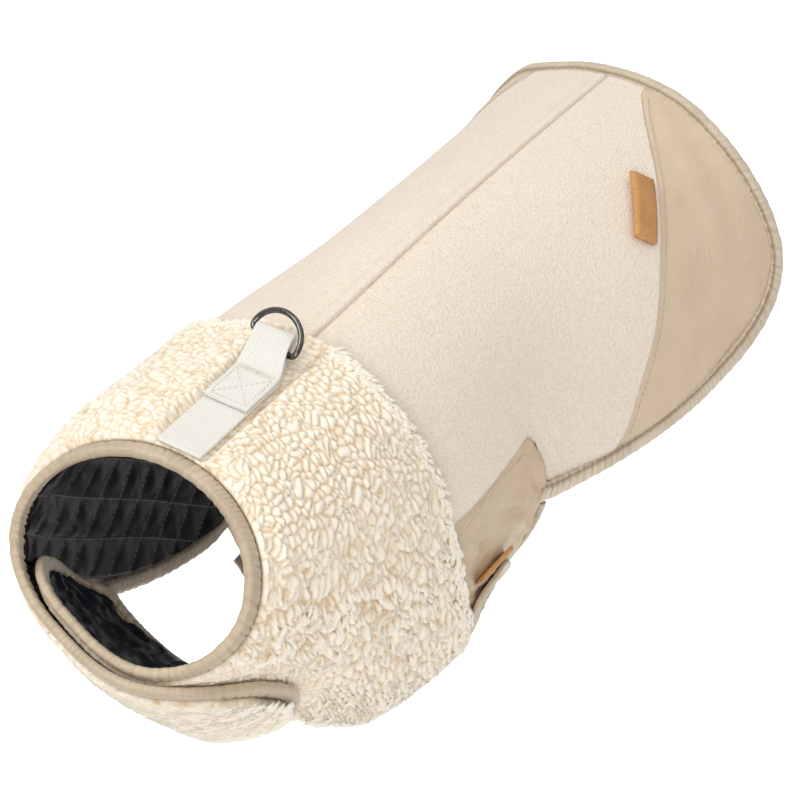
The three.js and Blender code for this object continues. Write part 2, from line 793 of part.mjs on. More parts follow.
function fell() {
  const rings = [];
  for (let k = 0; k <= FELL.steps; k += 1) {
    const along = FELL.from + ((FELL.to - FELL.from) * k) / FELL.steps;
    const half = FELL.width / 2 / smooth(RINGS, 'along', 'half', along) / DEGREES;
    const middle = (FELL.bottom + FELL.top) / 2;
    rings.push([
      form(along, -half, FELL.bottom),
      form(along, half, FELL.bottom),
      form(along, half, middle),
      form(along, half * 0.6, FELL.top),
      form(along, -half * 0.6, FELL.top),
      form(along, -half, middle),
    ]);
  }
  return loft(rings, false);
}

add('back_seam_fell', fell(), cloth.fleece);

// Gathered bindings. A path is a list of { along, angle, low, high } on the edge of the panels.

// Spots evenly spaced along a path, with its sharp turns kept
const SHARP_TURN = 14;

function resample(path, pitch) {
  const points = path.map((p) => form(p.along, p.angle, (p.low + p.high) / 2));
  const lengths = [0];
  for (let k = 1; k < points.length; k += 1) {
    lengths.push(lengths[k - 1] + points[k].distanceTo(points[k - 1]));
  }
  const whole = lengths[lengths.length - 1];
  const steps = Math.max(4, Math.round(whole / pitch) * 2);
  const out = [];
  let i = 0;
  for (let k = 0; k <= steps; k += 1) {
    const goal = (whole * k) / steps;
    while (i < path.length - 2 && lengths[i + 1] < goal) i += 1;
    const t = (goal - lengths[i]) / (lengths[i + 1] - lengths[i]);
    const spot = {};
    for (const key of ['along', 'angle', 'low', 'high']) {
      spot[key] = path[i][key] + (path[i + 1][key] - path[i][key]) * t;
    }
    out.push(spot);
  }
  for (let k = 1; k < path.length - 1; k += 1) {
    const before = points[k].clone().sub(points[k - 1]);
    const after = points[k + 1].clone().sub(points[k]);
    if (before.angleTo(after) > SHARP_TURN * DEGREES) {
      out[Math.round((lengths[k] / whole) * steps)] = path[k];
    }
  }
  return out;
}

// side is +1 where the free side of the edge lies to the left of the way the path runs;
// rise(along, angle) is how far the cloth stands off the figure there
function binding(path, side, rise, width = BINDING_WIDTH, pitch = GATHER_PITCH, wave = 0.45) {
  const spots = resample(path, pitch);
  const standing = (p) => rise(p.along, p.angle);
  const middles = spots.map((p) => form(p.along, p.angle, (p.low + p.high) / 2 + standing(p)));
  const rings = spots.map((p, k) => {
    const before = middles[Math.max(0, k - 1)];
    const after = middles[Math.min(middles.length - 1, k + 1)];
    const way = new THREE.Vector3().subVectors(after, before).normalize();
    const { outward, lengthwise, round } = formFrame(p.along, p.angle);
    const free = new THREE.Vector3().crossVectors(outward, way).normalize().multiplyScalar(side);
    const up = new THREE.Vector3().crossVectors(way, free).normalize();
    if (up.dot(outward) < 0) up.negate();
    const degree = bareForm(p.along, p.angle + 0.5).distanceTo(bareForm(p.along, p.angle - 0.5));
    const swell = k % 2 === 0 ? wave : -wave;
    const thick = (p.high - p.low) / 2;
    const high = thick + swell * 0.6;
    const low = -thick - swell * 0.4;
    const wide = width + swell;
    const corner = Math.min(2.2, thick * 0.7);
    const section = [
      [BINDING_GAP, low],
      [wide - corner, low],
      [wide, low + corner],
      [wide, high - corner],
      [wide - corner, high],
      [BINDING_GAP, high],
    ];
    return section.map(([out, lift]) => {
      const there = {
        along: p.along + out * free.dot(lengthwise),
        angle: p.angle + (out * free.dot(round)) / degree,
      };
      const more = standing(there) - standing(p);
      return middles[k].clone().addScaledVector(free, out).addScaledVector(up, lift + more);
    });
  });
  return loft(rings, false);
}

// Thick edge of shell and lining together, and thin edge of the unlined belly pieces
const THICK_EDGE = { low: -5.4, high: 0.4 };
const HEM_EDGE = { low: -4.9, high: 2.2 };
const THIN_EDGE = { low: -2, high: 0.6 };
const FLAP_EDGE_THINNER = 0.8;

function edgePath(border, half, edge) {
  return border.map((p) => ({ along: p.along, angle: half * p.angle, low: edge.low, high: edge.high }));
}

// Neck edge, round the end of the chest flap, back along it and along the leg opening
function frontBinding(side) {
  const half = side === 'left' ? 1 : -1;
  const { front, rear, legCorner } = yokeBorders(side);
  const back = rear.slice(legCorner).reverse();
  const path = front.concat(back);
  const edge = edgePath(path, half, THICK_EDGE);
  for (const spot of edge) {
    spot.low += FLAP_EDGE_THINNER * ease(110, 124, Math.abs(spot.angle)) * (1 - ease(66, 90, spot.along));
  }
  const rise = (along, angle) => flapOffset(side, half * angle, along) + sag(side, along, half * angle);
  return binding(edge, half > 0 ? -1 : 1, rise);
}

add('front_binding_left', frontBinding('left'), cloth.binding);
add('front_binding_right', frontBinding('right'), cloth.binding);

// Front edge of the belly piece, round its end and back to the hem
function bellyBinding(side) {
  const half = side === 'left' ? 1 : -1;
  const { front, rear, corner } = sideBorders(side);
  const start = corner + (side === 'left' ? 3 : 1);
  const path = front.slice(start).concat([...rear.slice(corner - 2)].reverse());
  const edge = edgePath(path, half, THIN_EDGE);
  const rise = (along, angle) => strapOffset(side, half * angle) + sag(side, along, half * angle);
  return binding(edge, half > 0 ? -1 : 1, rise, BINDING_WIDTH, 10.5, 0.2);
}

add('belly_binding_left', bellyBinding('left'), cloth.binding);
add('belly_binding_right', bellyBinding('right'), cloth.binding);

function hemBinding() {
  const left = HEM_FLANK.concat(HEM_RUMP.left, HEM_TAIL.left);
  const right = mirror(HEM_FLANK.concat(HEM_RUMP.right, HEM_TAIL.right)).reverse();
  const path = left.concat(right.slice(1));
  const rise = (along, angle) => sag(angle < 0 ? 'right' : 'left', along, Math.abs(angle));
  return binding(edgePath(path, 1, HEM_EDGE), -1, rise, HEM_BINDING_WIDTH);
}

add('hem_binding', hemBinding(), cloth.binding);

// Webbing for the leash ring: sewn down from the neck, up to the ring, round its bar and back.
// Its places are along the back, across it and above the form at the back seam.

const LOOP = {
  start: 6.5,          // at the neck binding
  stitched: 70,        // the cross stitches, where the loop leaves the yoke
  end: 94.6,           // middle of the fold round the bar
  return: 42,          // end of the upper layer
  low: 2.6,            // lift of the lower layer's middle
  upper: 4.9,          // lift of the upper layer's middle where both are sewn
  open: 2.75,          // half the distance between the layers round the bar
  lean: -6,            // how far the loop leans to the right
};

function loopMiddle(along) {
  const flat = (LOOP.low + LOOP.upper) / 2;
  const rise = 0.28 * Math.max(0, along - LOOP.stitched);
  const drop = smooth(RINGS, 'along', 'top', along) - smooth(RINGS, 'along', 'top', LOOP.stitched);
  return flat + rise - (along > LOOP.stitched ? drop : 0);
}

function loopPoint(along, across, lift) {
  const { round, outward } = formFrame(along, 0);
  const lean = LOOP.lean * ease(LOOP.stitched - 4, LOOP.end + 4, along);
  return bareForm(along, 0).addScaledVector(round, across + lean).addScaledVector(outward, lift);
}

function webbing() {
  const gap = (along) => {
    const closed = (LOOP.upper - LOOP.low) / 2;
    return closed + (LOOP.open - closed) * ease(LOOP.stitched, LOOP.stitched + 12, along);
  };
  const path = [];
  for (const along of [LOOP.start, 20, 34, 46, 58, LOOP.stitched, 76, 82, 88, LOOP.end]) {
    path.push([along, loopMiddle(along) - gap(along)]);
  }
  const turns = 6;
  for (let k = 1; k < turns; k += 1) {
    const angle = -90 + (180 * k) / turns;
    const along = LOOP.end + LOOP.open * Math.cos(angle * DEGREES);
    path.push([along, loopMiddle(LOOP.end) + LOOP.open * Math.sin(angle * DEGREES)]);
  }
  for (const along of [LOOP.end, 88, 82, 76, LOOP.stitched, 56, LOOP.return]) {
    path.push([along, loopMiddle(along) + gap(along)]);
  }
  const rings = path.map(([along, lift], k) => {
    const before = path[Math.max(0, k - 1)];
    const after = path[Math.min(path.length - 1, k + 1)];
    const way = new THREE.Vector2(after[0] - before[0], after[1] - before[1]).normalize();
    const half = WEBBING.thickness / 2;
    const width = WEBBING.width + (WEBBING.atRing - WEBBING.width) * ease(LOOP.stitched, 86, along);
    const ring = [];
    for (const [face, order] of [[1, [-1, 0, 1]], [-1, [1, 0, -1]]]) {
      for (const across of order) {
        ring.push(loopPoint(
          along - way.y * half * face,
          (across * width) / 2,
          lift + way.x * half * face,
        ));
      }
    }
    return ring;
  });
  return loft(rings, false);
}

add('leash_webbing', webbing(), cloth.webbing);

// Leash ring: a D of round wire, its bar in the loop, standing back towards the tail

function ringFrame() {
  const left = loopPoint(LOOP.end - 0.3, -WEBBING.width / 2, loopMiddle(LOOP.end - 0.3));
  const right = loopPoint(LOOP.end - 8.6, WEBBING.width / 2, loopMiddle(LOOP.end - 8.6));
  const bar = right.clone().sub(left).normalize();
  const centre = left.clone().add(right).multiplyScalar(0.5);
  const up = formFrame(LOOP.end, 0).outward.clone();
  up.addScaledVector(bar, -up.dot(bar)).normalize();
  const rearward = new THREE.Vector3().crossVectors(up, bar).normalize();
  const tilt = RING.tilt * DEGREES;
  const reach = rearward.multiplyScalar(Math.cos(tilt)).addScaledVector(up, Math.sin(tilt));
  return { centre, bar, reach };
}

const BAR_PARTS = 6;
const BOW_PARTS = 16;
const WIRE_SIDES = 8;

// The D as a list of places across the bar and out from it
function ringOutline() {
  const half = RING.bar / 2;
  const corner = RING.corner;
  const places = [];
  for (let k = 0; k <= BAR_PARTS; k += 1) {
    places.push([(half - corner) * ((2 * k) / BAR_PARTS - 1), 0]);
  }
  for (const angle of [-60, -30, 0]) {
    const turn = angle * DEGREES;
    places.push([half - corner + corner * Math.cos(turn), corner + corner * Math.sin(turn)]);
  }
  for (let k = 1; k < BOW_PARTS; k += 1) {
    const turn = (180 * k * DEGREES) / BOW_PARTS;
    places.push([half * Math.cos(turn), corner + (RING.depth - corner) * Math.sin(turn)]);
  }
  for (const angle of [180, 210, 240]) {
    const turn = angle * DEGREES;
    places.push([-half + corner + corner * Math.cos(turn), corner + corner * Math.sin(turn)]);
  }
  return places;
}

function ring() {
  const { centre, bar, reach } = ringFrame();
  const across = new THREE.Vector3().crossVectors(bar, reach).normalize();
  const point = (x, y) => centre.clone().addScaledVector(bar, x).addScaledVector(reach, y);
  const path = ringOutline().map(([x, y]) => point(x, y));
  const rings = path.map((p, k) => {
    const before = path[(k + path.length - 1) % path.length];
    const after = path[(k + 1) % path.length];
    const way = new THREE.Vector3().subVectors(after, before).normalize();
    const outward = new THREE.Vector3().crossVectors(way, across).normalize();
    const circle = [];
    for (let j = 0; j < WIRE_SIDES; j += 1) {
      const angle = (360 * j * DEGREES) / WIRE_SIDES;
      circle.push(p.clone()
        .addScaledVector(outward, (RING.wire / 2) * Math.cos(angle))
        .addScaledVector(across, (RING.wire / 2) * Math.sin(angle)));
    }
    return circle;
  });
  return loft(rings, true);
}

add('leash_ring', ring(), cloth.metal);

// Leather: a rolled loop in the left rump seam, and the pull tab on the end of the belly strap

const LABEL = { width: 15.5, roll: 2.4, low: 1.2 };
const TAB = { width: 11, roll: 1.6, low: 4.2 };

// A strip folded over into a flat loop along a line, reaching out from it
function leatherLoop(start, end, size, lean, steps) {
  const axis = form(end.along, end.angle, size.low).sub(form(start.along, start.angle, size.low)).normalize();
  const rings = [];
  for (let k = 0; k <= steps; k += 1) {
    const place = pointBetween(start, end, k / steps);
    const root = form(place.along, place.angle, size.low);
    const { outward, lengthwise, round } = formFrame(place.along, place.angle);
    const reach = lengthwise.clone().multiplyScalar(lean.along).addScaledVector(round, lean.round);
    reach.addScaledVector(outward, lean.up);
    reach.addScaledVector(axis, -reach.dot(axis)).normalize();
    const across = new THREE.Vector3().crossVectors(axis, reach).normalize();
    if (across.dot(outward) < 0) across.negate();
    const straight = size.width - size.roll;
    const outline = [[0, 0], [straight, -size.roll * 0.3]];
    const turns = 6;
    for (let j = 1; j < turns; j += 1) {
      const angle = (-90 + (180 * j) / turns) * DEGREES;
      outline.push([straight + size.roll * Math.cos(angle), size.roll * (0.7 + Math.sin(angle))]);
    }
    outline.push([straight, size.roll * 1.7], [0, size.roll]);
    rings.push(outline.map(([out, lift]) => root.clone()
      .addScaledVector(reach, out).addScaledVector(across, lift)));
  }
  return loft(rings, false);
}

add('rump_label', leatherLoop({ along: 326.5, angle: 49.4 }, { along: 358, angle: 35.6 }, LABEL,
  { along: -0.85, round: -0.5, up: 0.12 }, 4), cloth.leather);
add('pull_tab', leatherLoop({ along: 194, angle: 104.6 }, { along: 172, angle: 107.4 }, TAB,
  { along: 0, round: -0.6, up: 0.8 }, 3), cloth.leather);

export default coat;
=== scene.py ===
# %% [markdown]
# # Dog winter coat
# The coat is shown filled out in its worn shape, with nobody in it. It is cut from fleece, long
# sherpa pile and a smooth softshell, lined with black quilted satin and bound with gathered
# satin tape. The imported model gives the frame; every piece below is built in that same place.

# %% Load the frame
import math

import bpy
import numpy as np
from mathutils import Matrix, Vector


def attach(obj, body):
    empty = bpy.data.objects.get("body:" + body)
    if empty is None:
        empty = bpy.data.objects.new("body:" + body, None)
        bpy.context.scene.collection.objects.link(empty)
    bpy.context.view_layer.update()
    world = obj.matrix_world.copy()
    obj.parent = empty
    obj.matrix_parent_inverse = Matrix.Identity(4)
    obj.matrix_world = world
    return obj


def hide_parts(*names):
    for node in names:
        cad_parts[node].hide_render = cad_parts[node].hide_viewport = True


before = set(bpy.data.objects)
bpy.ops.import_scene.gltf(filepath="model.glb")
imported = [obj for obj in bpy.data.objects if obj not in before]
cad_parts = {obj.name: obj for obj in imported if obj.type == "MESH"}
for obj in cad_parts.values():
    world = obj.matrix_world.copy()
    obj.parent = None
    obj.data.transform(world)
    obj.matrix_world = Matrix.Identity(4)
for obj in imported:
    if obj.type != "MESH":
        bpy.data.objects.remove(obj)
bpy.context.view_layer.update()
MM = 0.001
dice = np.random.default_rng(11)
print("nodes in the frame:", len(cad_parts))

# %% [markdown]
# ## The figure under the cloth
# A garment has no flat faces to start from. A maker's dummy gives it its shape, and so does this
# figure: rings along the back, each an oval that leans and rolls a little. Every piece is laid
# on it by a length from the neck edge and an angle round from the back seam, in millimetres and
# degrees, so neighbouring pieces meet along their seams.

# %% Rings of the figure
# along, top, lean, turn, skew, half width, widest, depth
RINGS = np.array([
    (0, 0.2, 35, -6, 0, 66.5, 52, 100),
    (45, 2.2, 23, -5, 0, 74, 72.5, 151),
    (95, 4.2, 13, -4, 0, 81, 91, 196),
    (150, 6.7, 9.5, -4, 0, 84, 104, 223),
    (230, 10.7, 5, -2, 0, 88.5, 114, 226),
    (310, 12.2, -2, 4, 0.06, 104, 121, 223),
    (370, 12.2, -7, 6.5, 0.12, 113, 123, 219),
    (425, 11.7, -8, 7.5, 0.17, 118, 125, 215),
], float)
WITHERS = 130


def ease(low, high, value):
    t = np.clip((np.asarray(value, float) - low) / (high - low), 0, 1)
    return t * t * (3 - 2 * t)


def through(keys, values, at):
    """Smooth curve through a table's column, straight on past both ends."""
    slope = np.empty(len(keys))
    slope[1:-1] = (values[2:] - values[:-2]) / (keys[2:] - keys[:-2])
    slope[0] = (values[1] - values[0]) / (keys[1] - keys[0])
    slope[-1] = (values[-1] - values[-2]) / (keys[-1] - keys[-2])
    at = np.asarray(at, float)
    i = np.clip(np.searchsorted(keys, at, side="right") - 1, 0, len(keys) - 2)
    span = keys[i + 1] - keys[i]
    t = np.clip((at - keys[i]) / span, 0, 1)
    start = values[i] * (2 * t**3 - 3 * t**2 + 1) + slope[i] * span * (t**3 - 2 * t**2 + t)
    end = values[i + 1] * (3 * t**2 - 2 * t**3) + slope[i + 1] * span * (t**3 - t**2)
    before = slope[0] * np.minimum(at - keys[0], 0)
    after = slope[-1] * np.maximum(at - keys[-1], 0)
    return start + end + before + after


def bare_form(along, angle):
    top, lean, turn, skew, half, widest, depth = (
        through(RINGS[:, 0], RINGS[:, column], along) for column in range(1, 8))
    turn, lean = np.radians(turn), np.radians(lean)
    across = half * np.sin(np.radians(angle))
    rise = np.cos(np.radians(angle))
    below = np.where(rise > 0, widest * (1 - rise), widest - (depth - widest) * rise)
    x = across * np.cos(turn) + below * np.sin(turn)
    down = below * np.cos(turn) - across * np.sin(turn)
    y = along - WITHERS - down * np.sin(lean) - skew * x
    return np.stack([x, y, top - down * np.cos(lean)], -1)


def unit(vectors):
    return vectors / np.linalg.norm(vectors, axis=-1, keepdims=True)


def form_frame(along, angle):
    step = 0.5
    lengthwise = unit(bare_form(along + step, angle) - bare_form(along - step, angle))
    round_ = unit(bare_form(along, angle + step) - bare_form(along, angle - step))
    return lengthwise, round_, unit(np.cross(round_, lengthwise))


def form(along, angle, lift):
    along, angle, lift = np.broadcast_arrays(*(np.asarray(v, float) for v in (along, angle, lift)))
    return bare_form(along, angle) + form_frame(along, angle)[2] * lift[..., None]


print("girth at the chest, mm:", round(float(np.linalg.norm(
    np.diff(bare_form(np.full(361, 95.0), np.arange(361.0)), axis=0), axis=1).sum())))

# %% [markdown]
# ## How the cloth stands off the figure
# The left side sags towards the leg opening, the right side is pushed up behind the neck, the
# chest flaps lap over each other, and the strap lies over the belly flap. These few soft
# functions move all the layers of a place together, so the layers never cross.

# %% Sag, laps and slack
FLAP_RISE = 7.6
FLAP_CURL = 17
OUTER_TUCK = 8
SAG = 8.5
BESIDE_NECK = 6.5
TIGHT_BELLY = 6
STRAP_RISE = 3.9


def lap(side, along, angle):
    """The outer chest flap (right) stands off, the inner one (left) sinks in and curls."""
    fade = 1 - ease(58, 82, along)
    if side == "right":
        tuck = ease(126, 150, angle) * (1 - ease(178, 208, angle)) * ease(6, 40, along) * fade
        return FLAP_RISE * (1 - ease(150, 206, 360 - angle)) - OUTER_TUCK * tuck
    curl = ease(124, 154, angle) * (1 - ease(222, 242, angle)) * ease(8, 52, along) * fade
    return -FLAP_RISE * ease(150, 206, angle) - FLAP_CURL * curl


def sag_left(along, angle):
    low = ease(96, 136, angle) * (1 - ease(142, 196, angle))
    tight = ease(186, 206, along) * ease(102, 128, angle)
    return SAG * low * ease(72, 120, along) * (1 - ease(180, 204, along)) - TIGHT_BELLY * tight


def sag(side, along, angle):
    if side == "left":
        return sag_left(along, angle)
    tail = 4.5 * ease(372, 428, along) * ease(14, 38, angle)
    beside = ease(20, 44, angle) * (1 - ease(84, 108, angle))
    behind_neck = ease(4, 40, along) * (1 - ease(112, 245, along))
    tight = ease(186, 206, along) * ease(102, 128, angle)
    own = tail + BESIDE_NECK * beside * behind_neck - TIGHT_BELLY * tight
    return np.where(angle > 160, sag_left(along, 360 - angle), own)


def slack(along, angle):
    dent = -1.6 * np.exp(-(((along - 214) / 13) ** 2) - ((angle - 70) / 10) ** 2)
    return dent + 1.1 * np.sin(along * 0.045 + 1.1) * ease(35, 75, angle)


# %% [markdown]
# ## Seams and edges
# Each row is a place on a seam or an edge, read off the real coat's lines: how far from the neck
# edge and how far round. The right side isn't quite the left one's mirror image, because the
# coat lies a little askew and its flap pulls it up.

# %% Tables of the borders
NECK_EDGE = 4.5
# neck angle, rear, rear angle
YOKE_BODY = [
    (0, 110, 0), (6, 109.5, 5), (12, 109, 9.8), (15.2, 109, 12.4), (23, 109, 20),
    (28.5, 110, 26.5), (34, 111, 33), (40, 113, 41), (46, 116, 49.5), (58, 124, 66),
    (70, 133, 82), (79, 140, 89), (87, 153, 101),
]
LEG_CORNER = {
    "left": [
        (96, 169, 115), (105, 184, 130), (110, 166, 136), (115, 140, 138), (120, 112, 138.5),
        (125, 88, 138.5), (130, 71, 140), (137, 60, 146),
    ],
    "right": [
        (95, 171, 114), (101, 176.5, 120), (105, 160, 121.5), (109, 132, 121.5),
        (113, 104, 121.5), (117, 82, 122), (121, 66, 125), (127, 57, 132),
    ],
}
SEAM_END = len(YOKE_BODY) + 1
# neck angle, neck, rear, rear angle
CHEST_FLAP = {
    "left": [
        (148, 4.5, 55, 155), (164, 4.5, 53, 168), (181, 4.5, 47, 183), (198, 4.5, 42, 198),
        (214, 4.5, 39, 213), (227, 8, 36, 226), (235, 15, 29, 235),
    ],
    "right": [
        (145, 4.5, 47, 146), (165, 4.5, 40, 165), (185, 4.5, 42, 185), (203, 5, 49, 201),
        (218, 9, 55, 216), (229, 17, 57, 228), (236, 29, 47, 236),
    ],
}
SIDE_FRONT = {
    "left": [(133, 82), (140, 89), (147, 95.5), (153, 101), (169, 115), (184.5, 130)],
    "right": [(133, 82), (140, 89), (147, 95.5), (153, 101), (171, 114), (178.5, 121.5)],
}
SIDE_REAR = [(209, 76), (217, 84), (220, 91), (218, 97), (214, 108), (215, 121.5)]
SIDE_TOP_MIDDLE = (171, 78.3)
BELLY_FRONT = {
    "left": [(191, 140), (194, 152), (195, 168), (195, 184), (198, 193), (204, 197)],
    "right": [
        (184, 134), (189, 150), (193, 168), (195, 190), (195, 210), (194, 228), (186, 237),
        (181, 244), (185, 247),
    ],
}
BELLY_REAR = {
    "left": [(220, 136), (224, 150), (227, 168), (228, 184), (226, 193), (219, 197)],
    "right": [
        (219, 134), (224, 150), (227, 168), (227, 190), (225, 210), (221, 228), (214, 237),
        (204, 244), (198, 247),
    ],
}
HEM_FLANK = [(226, 92.5), (240, 93.5), (257, 93.9), (264.5, 93.9)]
HEM_RUMP = {
    "left": [
        (275, 93.6), (290, 92.8), (312, 90.9), (338, 88), (363, 84.8), (390.5, 79),
        (408, 71.7), (415.5, 63.4), (420.5, 52), (425, 38), (429.5, 24),
    ],
    "right": [
        (275, 93.6), (290, 92.8), (312, 90.9), (338, 88), (363, 84.8), (392.5, 79),
        (413, 71.7), (425, 62.5), (433, 52), (437, 42), (436.5, 33),
    ],
}
HEM_TAIL = {
    "left": [(429.5, 13.5), (429, 6.5), (428.5, 0)],
    "right": [(432.5, 26), (430, 12), (428.5, 0)],
}
RUMP_SEAM = {
    "left": [
        (266.5, 93.8), (273, 89.6), (284, 79), (301, 68), (321, 56), (337, 48), (350, 42),
        (363, 36.5), (380, 29), (402, 20.5), (421, 14.5),
    ],
    "right": [
        (266.5, 93.8), (273, 89.6), (284, 79), (301, 69), (321, 60), (337, 54), (350, 49.5),
        (363, 45), (380, 39.5), (402, 32.5), (421, 27),
    ],
}
LINING_LEG = {
    "left": [(NECK_EDGE, 122), (56, 127), (80, 136.5), (112, 138), (166, 135), (183, 130)],
    "right": [(NECK_EDGE, 120), (60, 121.3), (120, 121.3), (178, 121.3)],
}
SIGN = {"left": 1, "right": -1}


def yoke_borders(side):
    body = [(NECK_EDGE, neck, rear, angle) for neck, rear, angle in YOKE_BODY + LEG_CORNER[side]]
    flap = [(neck, at, rear, angle) for at, neck, rear, angle in CHEST_FLAP[side]]
    rows = body + flap
    front = np.array([(along, angle) for along, angle, _, _ in rows], float)
    rear = np.array([(along, angle) for _, _, along, angle in rows], float)
    return front, rear


# %% [markdown]
# ## From borders to cloth
# A panel is a grid between two borders. Its outer face is fine enough for curls and creases, its
# hidden face is four times coarser, and the rim closes the two into one thin wall. Building
# this in mesh code instead of with a Solidify modifier keeps the inner face smooth under the
# pile.

# %% Grids between borders
COARSE = 4
# thickness of a cloth in mm
CLOTH = 2


def run_length(points):
    """Length from the first point of a line to each of its points."""
    return np.concatenate([[0], np.cumsum(np.linalg.norm(np.diff(points, axis=0), axis=1))])


def border_at(border, place, corners=()):
    """Smooth places along a border, sharp only at its corners; place counts its points."""
    border = np.asarray(border, float)
    out = np.empty((len(place), 2))
    stops = [0, *corners, len(border) - 1]
    for first, last in zip(stops[:-1], stops[1:]):
        here = (place >= first) & (place <= last)
        run = border[first:last + 1]
        for column in range(2):
            out[here, column] = through(np.arange(len(run)), run[:, column], place[here] - first)
    return out


def even_places(front, rear, spacing, corners=()):
    """Places along a pair of borders, evenly spaced in millimetres, a multiple of COARSE."""
    fine = np.linspace(0, len(front) - 1, 24 * (len(front) - 1) + 1)
    middle = (border_at(front, fine, corners) + border_at(rear, fine, corners)) / 2
    length = run_length(bare_form(middle[:, 0], middle[:, 1]))
    count = COARSE * max(2, round(length[-1] / spacing / COARSE))
    places = np.interp(np.linspace(0, length[-1], count + 1), length, fine)
    for corner in corners:
        places[np.abs(places - corner).argmin()] = corner
    return places


def grid_between(front, rear, rows, spacing, corners=()):
    places = even_places(front, rear, spacing, corners)
    a, b = border_at(front, places, corners), border_at(rear, places, corners)
    t = np.linspace(0, 1, rows + 1)[:, None, None]
    grid = a[None] * (1 - t) + b[None] * t
    return grid[..., 0], grid[..., 1], places


def arc_grid(along, angle):
    """Millimetres round and along the cloth, for weaves and stitches."""
    points = bare_form(along, angle)
    step = np.linalg.norm(np.diff(points, axis=1), axis=-1)
    return np.concatenate([np.zeros((len(along), 1)), np.cumsum(step, axis=1)], axis=1)


# %% Closed thin walls
def quads(rows, columns, flip, start=0):
    i, j = np.meshgrid(np.arange(rows), np.arange(columns), indexing="ij")
    a = start + i * (columns + 1) + j
    b, c, d = a + 1, a + columns + 2, a + columns + 1
    order = (a, d, c, b) if flip else (a, b, c, d)
    return np.stack([v.ravel() for v in order], -1).tolist()


def rim_of(rows, columns, step=1):
    top = [(0, j) for j in range(0, columns, step)]
    right = [(i, columns) for i in range(0, rows, step)]
    bottom = [(rows, j) for j in range(columns, 0, -step)]
    left = [(i, 0) for i in range(rows, 0, -step)]
    return top + right + bottom + left


def lay_uv(mesh, spots):
    """Gives each corner of the mesh its point's place on the flat cloth; spots are in mm."""
    corner_of = np.empty(len(mesh.loops), int)
    mesh.loops.foreach_get("vertex_index", corner_of)
    layer = mesh.uv_layers.get("cloth") or mesh.uv_layers.new(name="cloth")
    layer.data.foreach_set("uv", (spots.reshape(-1, 2) * MM)[corner_of].ravel())


def mark_points(mesh, mark, values):
    """Keeps a value from 0 to 1 at each point, for the material to read."""
    field = mesh.attributes.new(mark, "FLOAT", "POINT")
    field.data.foreach_set("value", values.ravel().astype(np.float32))


def wall_mesh(name, outer, inner, uv, marks=None):
    """One closed wall. outer and inner are grids of points in mm, uv its cloth millimetres."""
    rows, columns = outer.shape[0] - 1, outer.shape[1] - 1
    small = inner[::COARSE, ::COARSE]
    points = np.concatenate([outer.reshape(-1, 3), small.reshape(-1, 3)])
    first = (rows + 1) * (columns + 1)
    edge_a, edge_b = outer[rows // 2, columns // 2], outer[rows // 2, columns // 2 + 1]
    normal = np.cross(edge_b - edge_a, outer[rows // 2 + 1, columns // 2] - edge_a)
    flip = np.dot(normal, edge_a - inner[rows // 2, columns // 2]) < 0
    faces = quads(rows, columns, flip)
    faces += quads(rows // COARSE, columns // COARSE, not flip, first)
    across = columns // COARSE + 1
    rim = [i * (columns + 1) + j for i, j in rim_of(rows, columns)]
    low = [first + (i // COARSE) * across + j // COARSE for i, j in rim_of(rows, columns, COARSE)]
    for k, corner in enumerate(low):
        stretch = [rim[(k * COARSE + n) % len(rim)] for n in range(COARSE + 1)]
        face = stretch + [low[(k + 1) % len(low)], corner]
        faces.append(face if flip else face[::-1])
    mesh = bpy.data.meshes.new(name)
    mesh.from_pydata((points * MM).tolist(), [], faces)
    lay_uv(mesh, np.concatenate([uv.reshape(-1, 2), uv[::COARSE, ::COARSE].reshape(-1, 2)]))
    for mark, values in (marks or {}).items():
        full = np.concatenate([values.ravel(), values[::COARSE, ::COARSE].ravel()])
        mark_points(mesh, mark, full)
    mesh.shade_smooth()
    return mesh


def piece(name, mesh, material, body="coat", replaces=None):
    thing = bpy.data.objects.new(name, mesh)
    bpy.context.scene.collection.objects.link(thing)
    mesh.materials.clear()
    mesh.materials.append(material)
    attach(thing, body)
    if replaces:
        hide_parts(replaces)
    return thing


def panel(name, side, along, angle, shown, hidden, look, cut, step=4, marks=None):
    """A panel's wall between two lifts over its grid; cut is not used."""
    node, material, slot = look
    place = along, SIGN[side] * angle
    uv = np.stack([arc_grid(along, angle), along], -1)
    mesh = wall_mesh(f"{name}_{side}", form(*place, shown), form(*place, hidden), uv, marks)
    thing = piece(f"{name}_{side}", mesh, material, replaces=f"{node}_{side}")
    form(*place, cut)[::step, ::step]
    return thing


# %% [markdown]
# ## Materials
# The cloths share two effects: a grain of fibres, drawn out or even, and a plain weave. Each is a
# node group that puts out heights and shades; the colours, the sheen and the roughness belong to
# each cloth and stay in its own material. Small waves that noise gives are bump only; whatever
# shows in an outline is in the meshes.

# %% Node helpers
def add_node(tree, kind, x=0, **settings):
    node = tree.nodes.new(kind)
    node.location = (x, 0)
    for key, value in settings.items():
        if hasattr(node, key):
            setattr(node, key, value)
        else:
            node.inputs[key.replace("_", " ")].default_value = value
    return node


def group_tree(name, inputs, outputs):
    tree = bpy.data.node_groups.new(name, "ShaderNodeTree")
    for label, kind, value in inputs:
        socket = tree.interface.new_socket(label, in_out="INPUT", socket_type=kind)
        if value is not None:
            socket.default_value = value
    for label in outputs:
        tree.interface.new_socket(label, in_out="OUTPUT", socket_type="NodeSocketFloat")
    start = add_node(tree, "NodeGroupInput", -900)
    end = add_node(tree, "NodeGroupOutput", 600)
    return tree, start, end


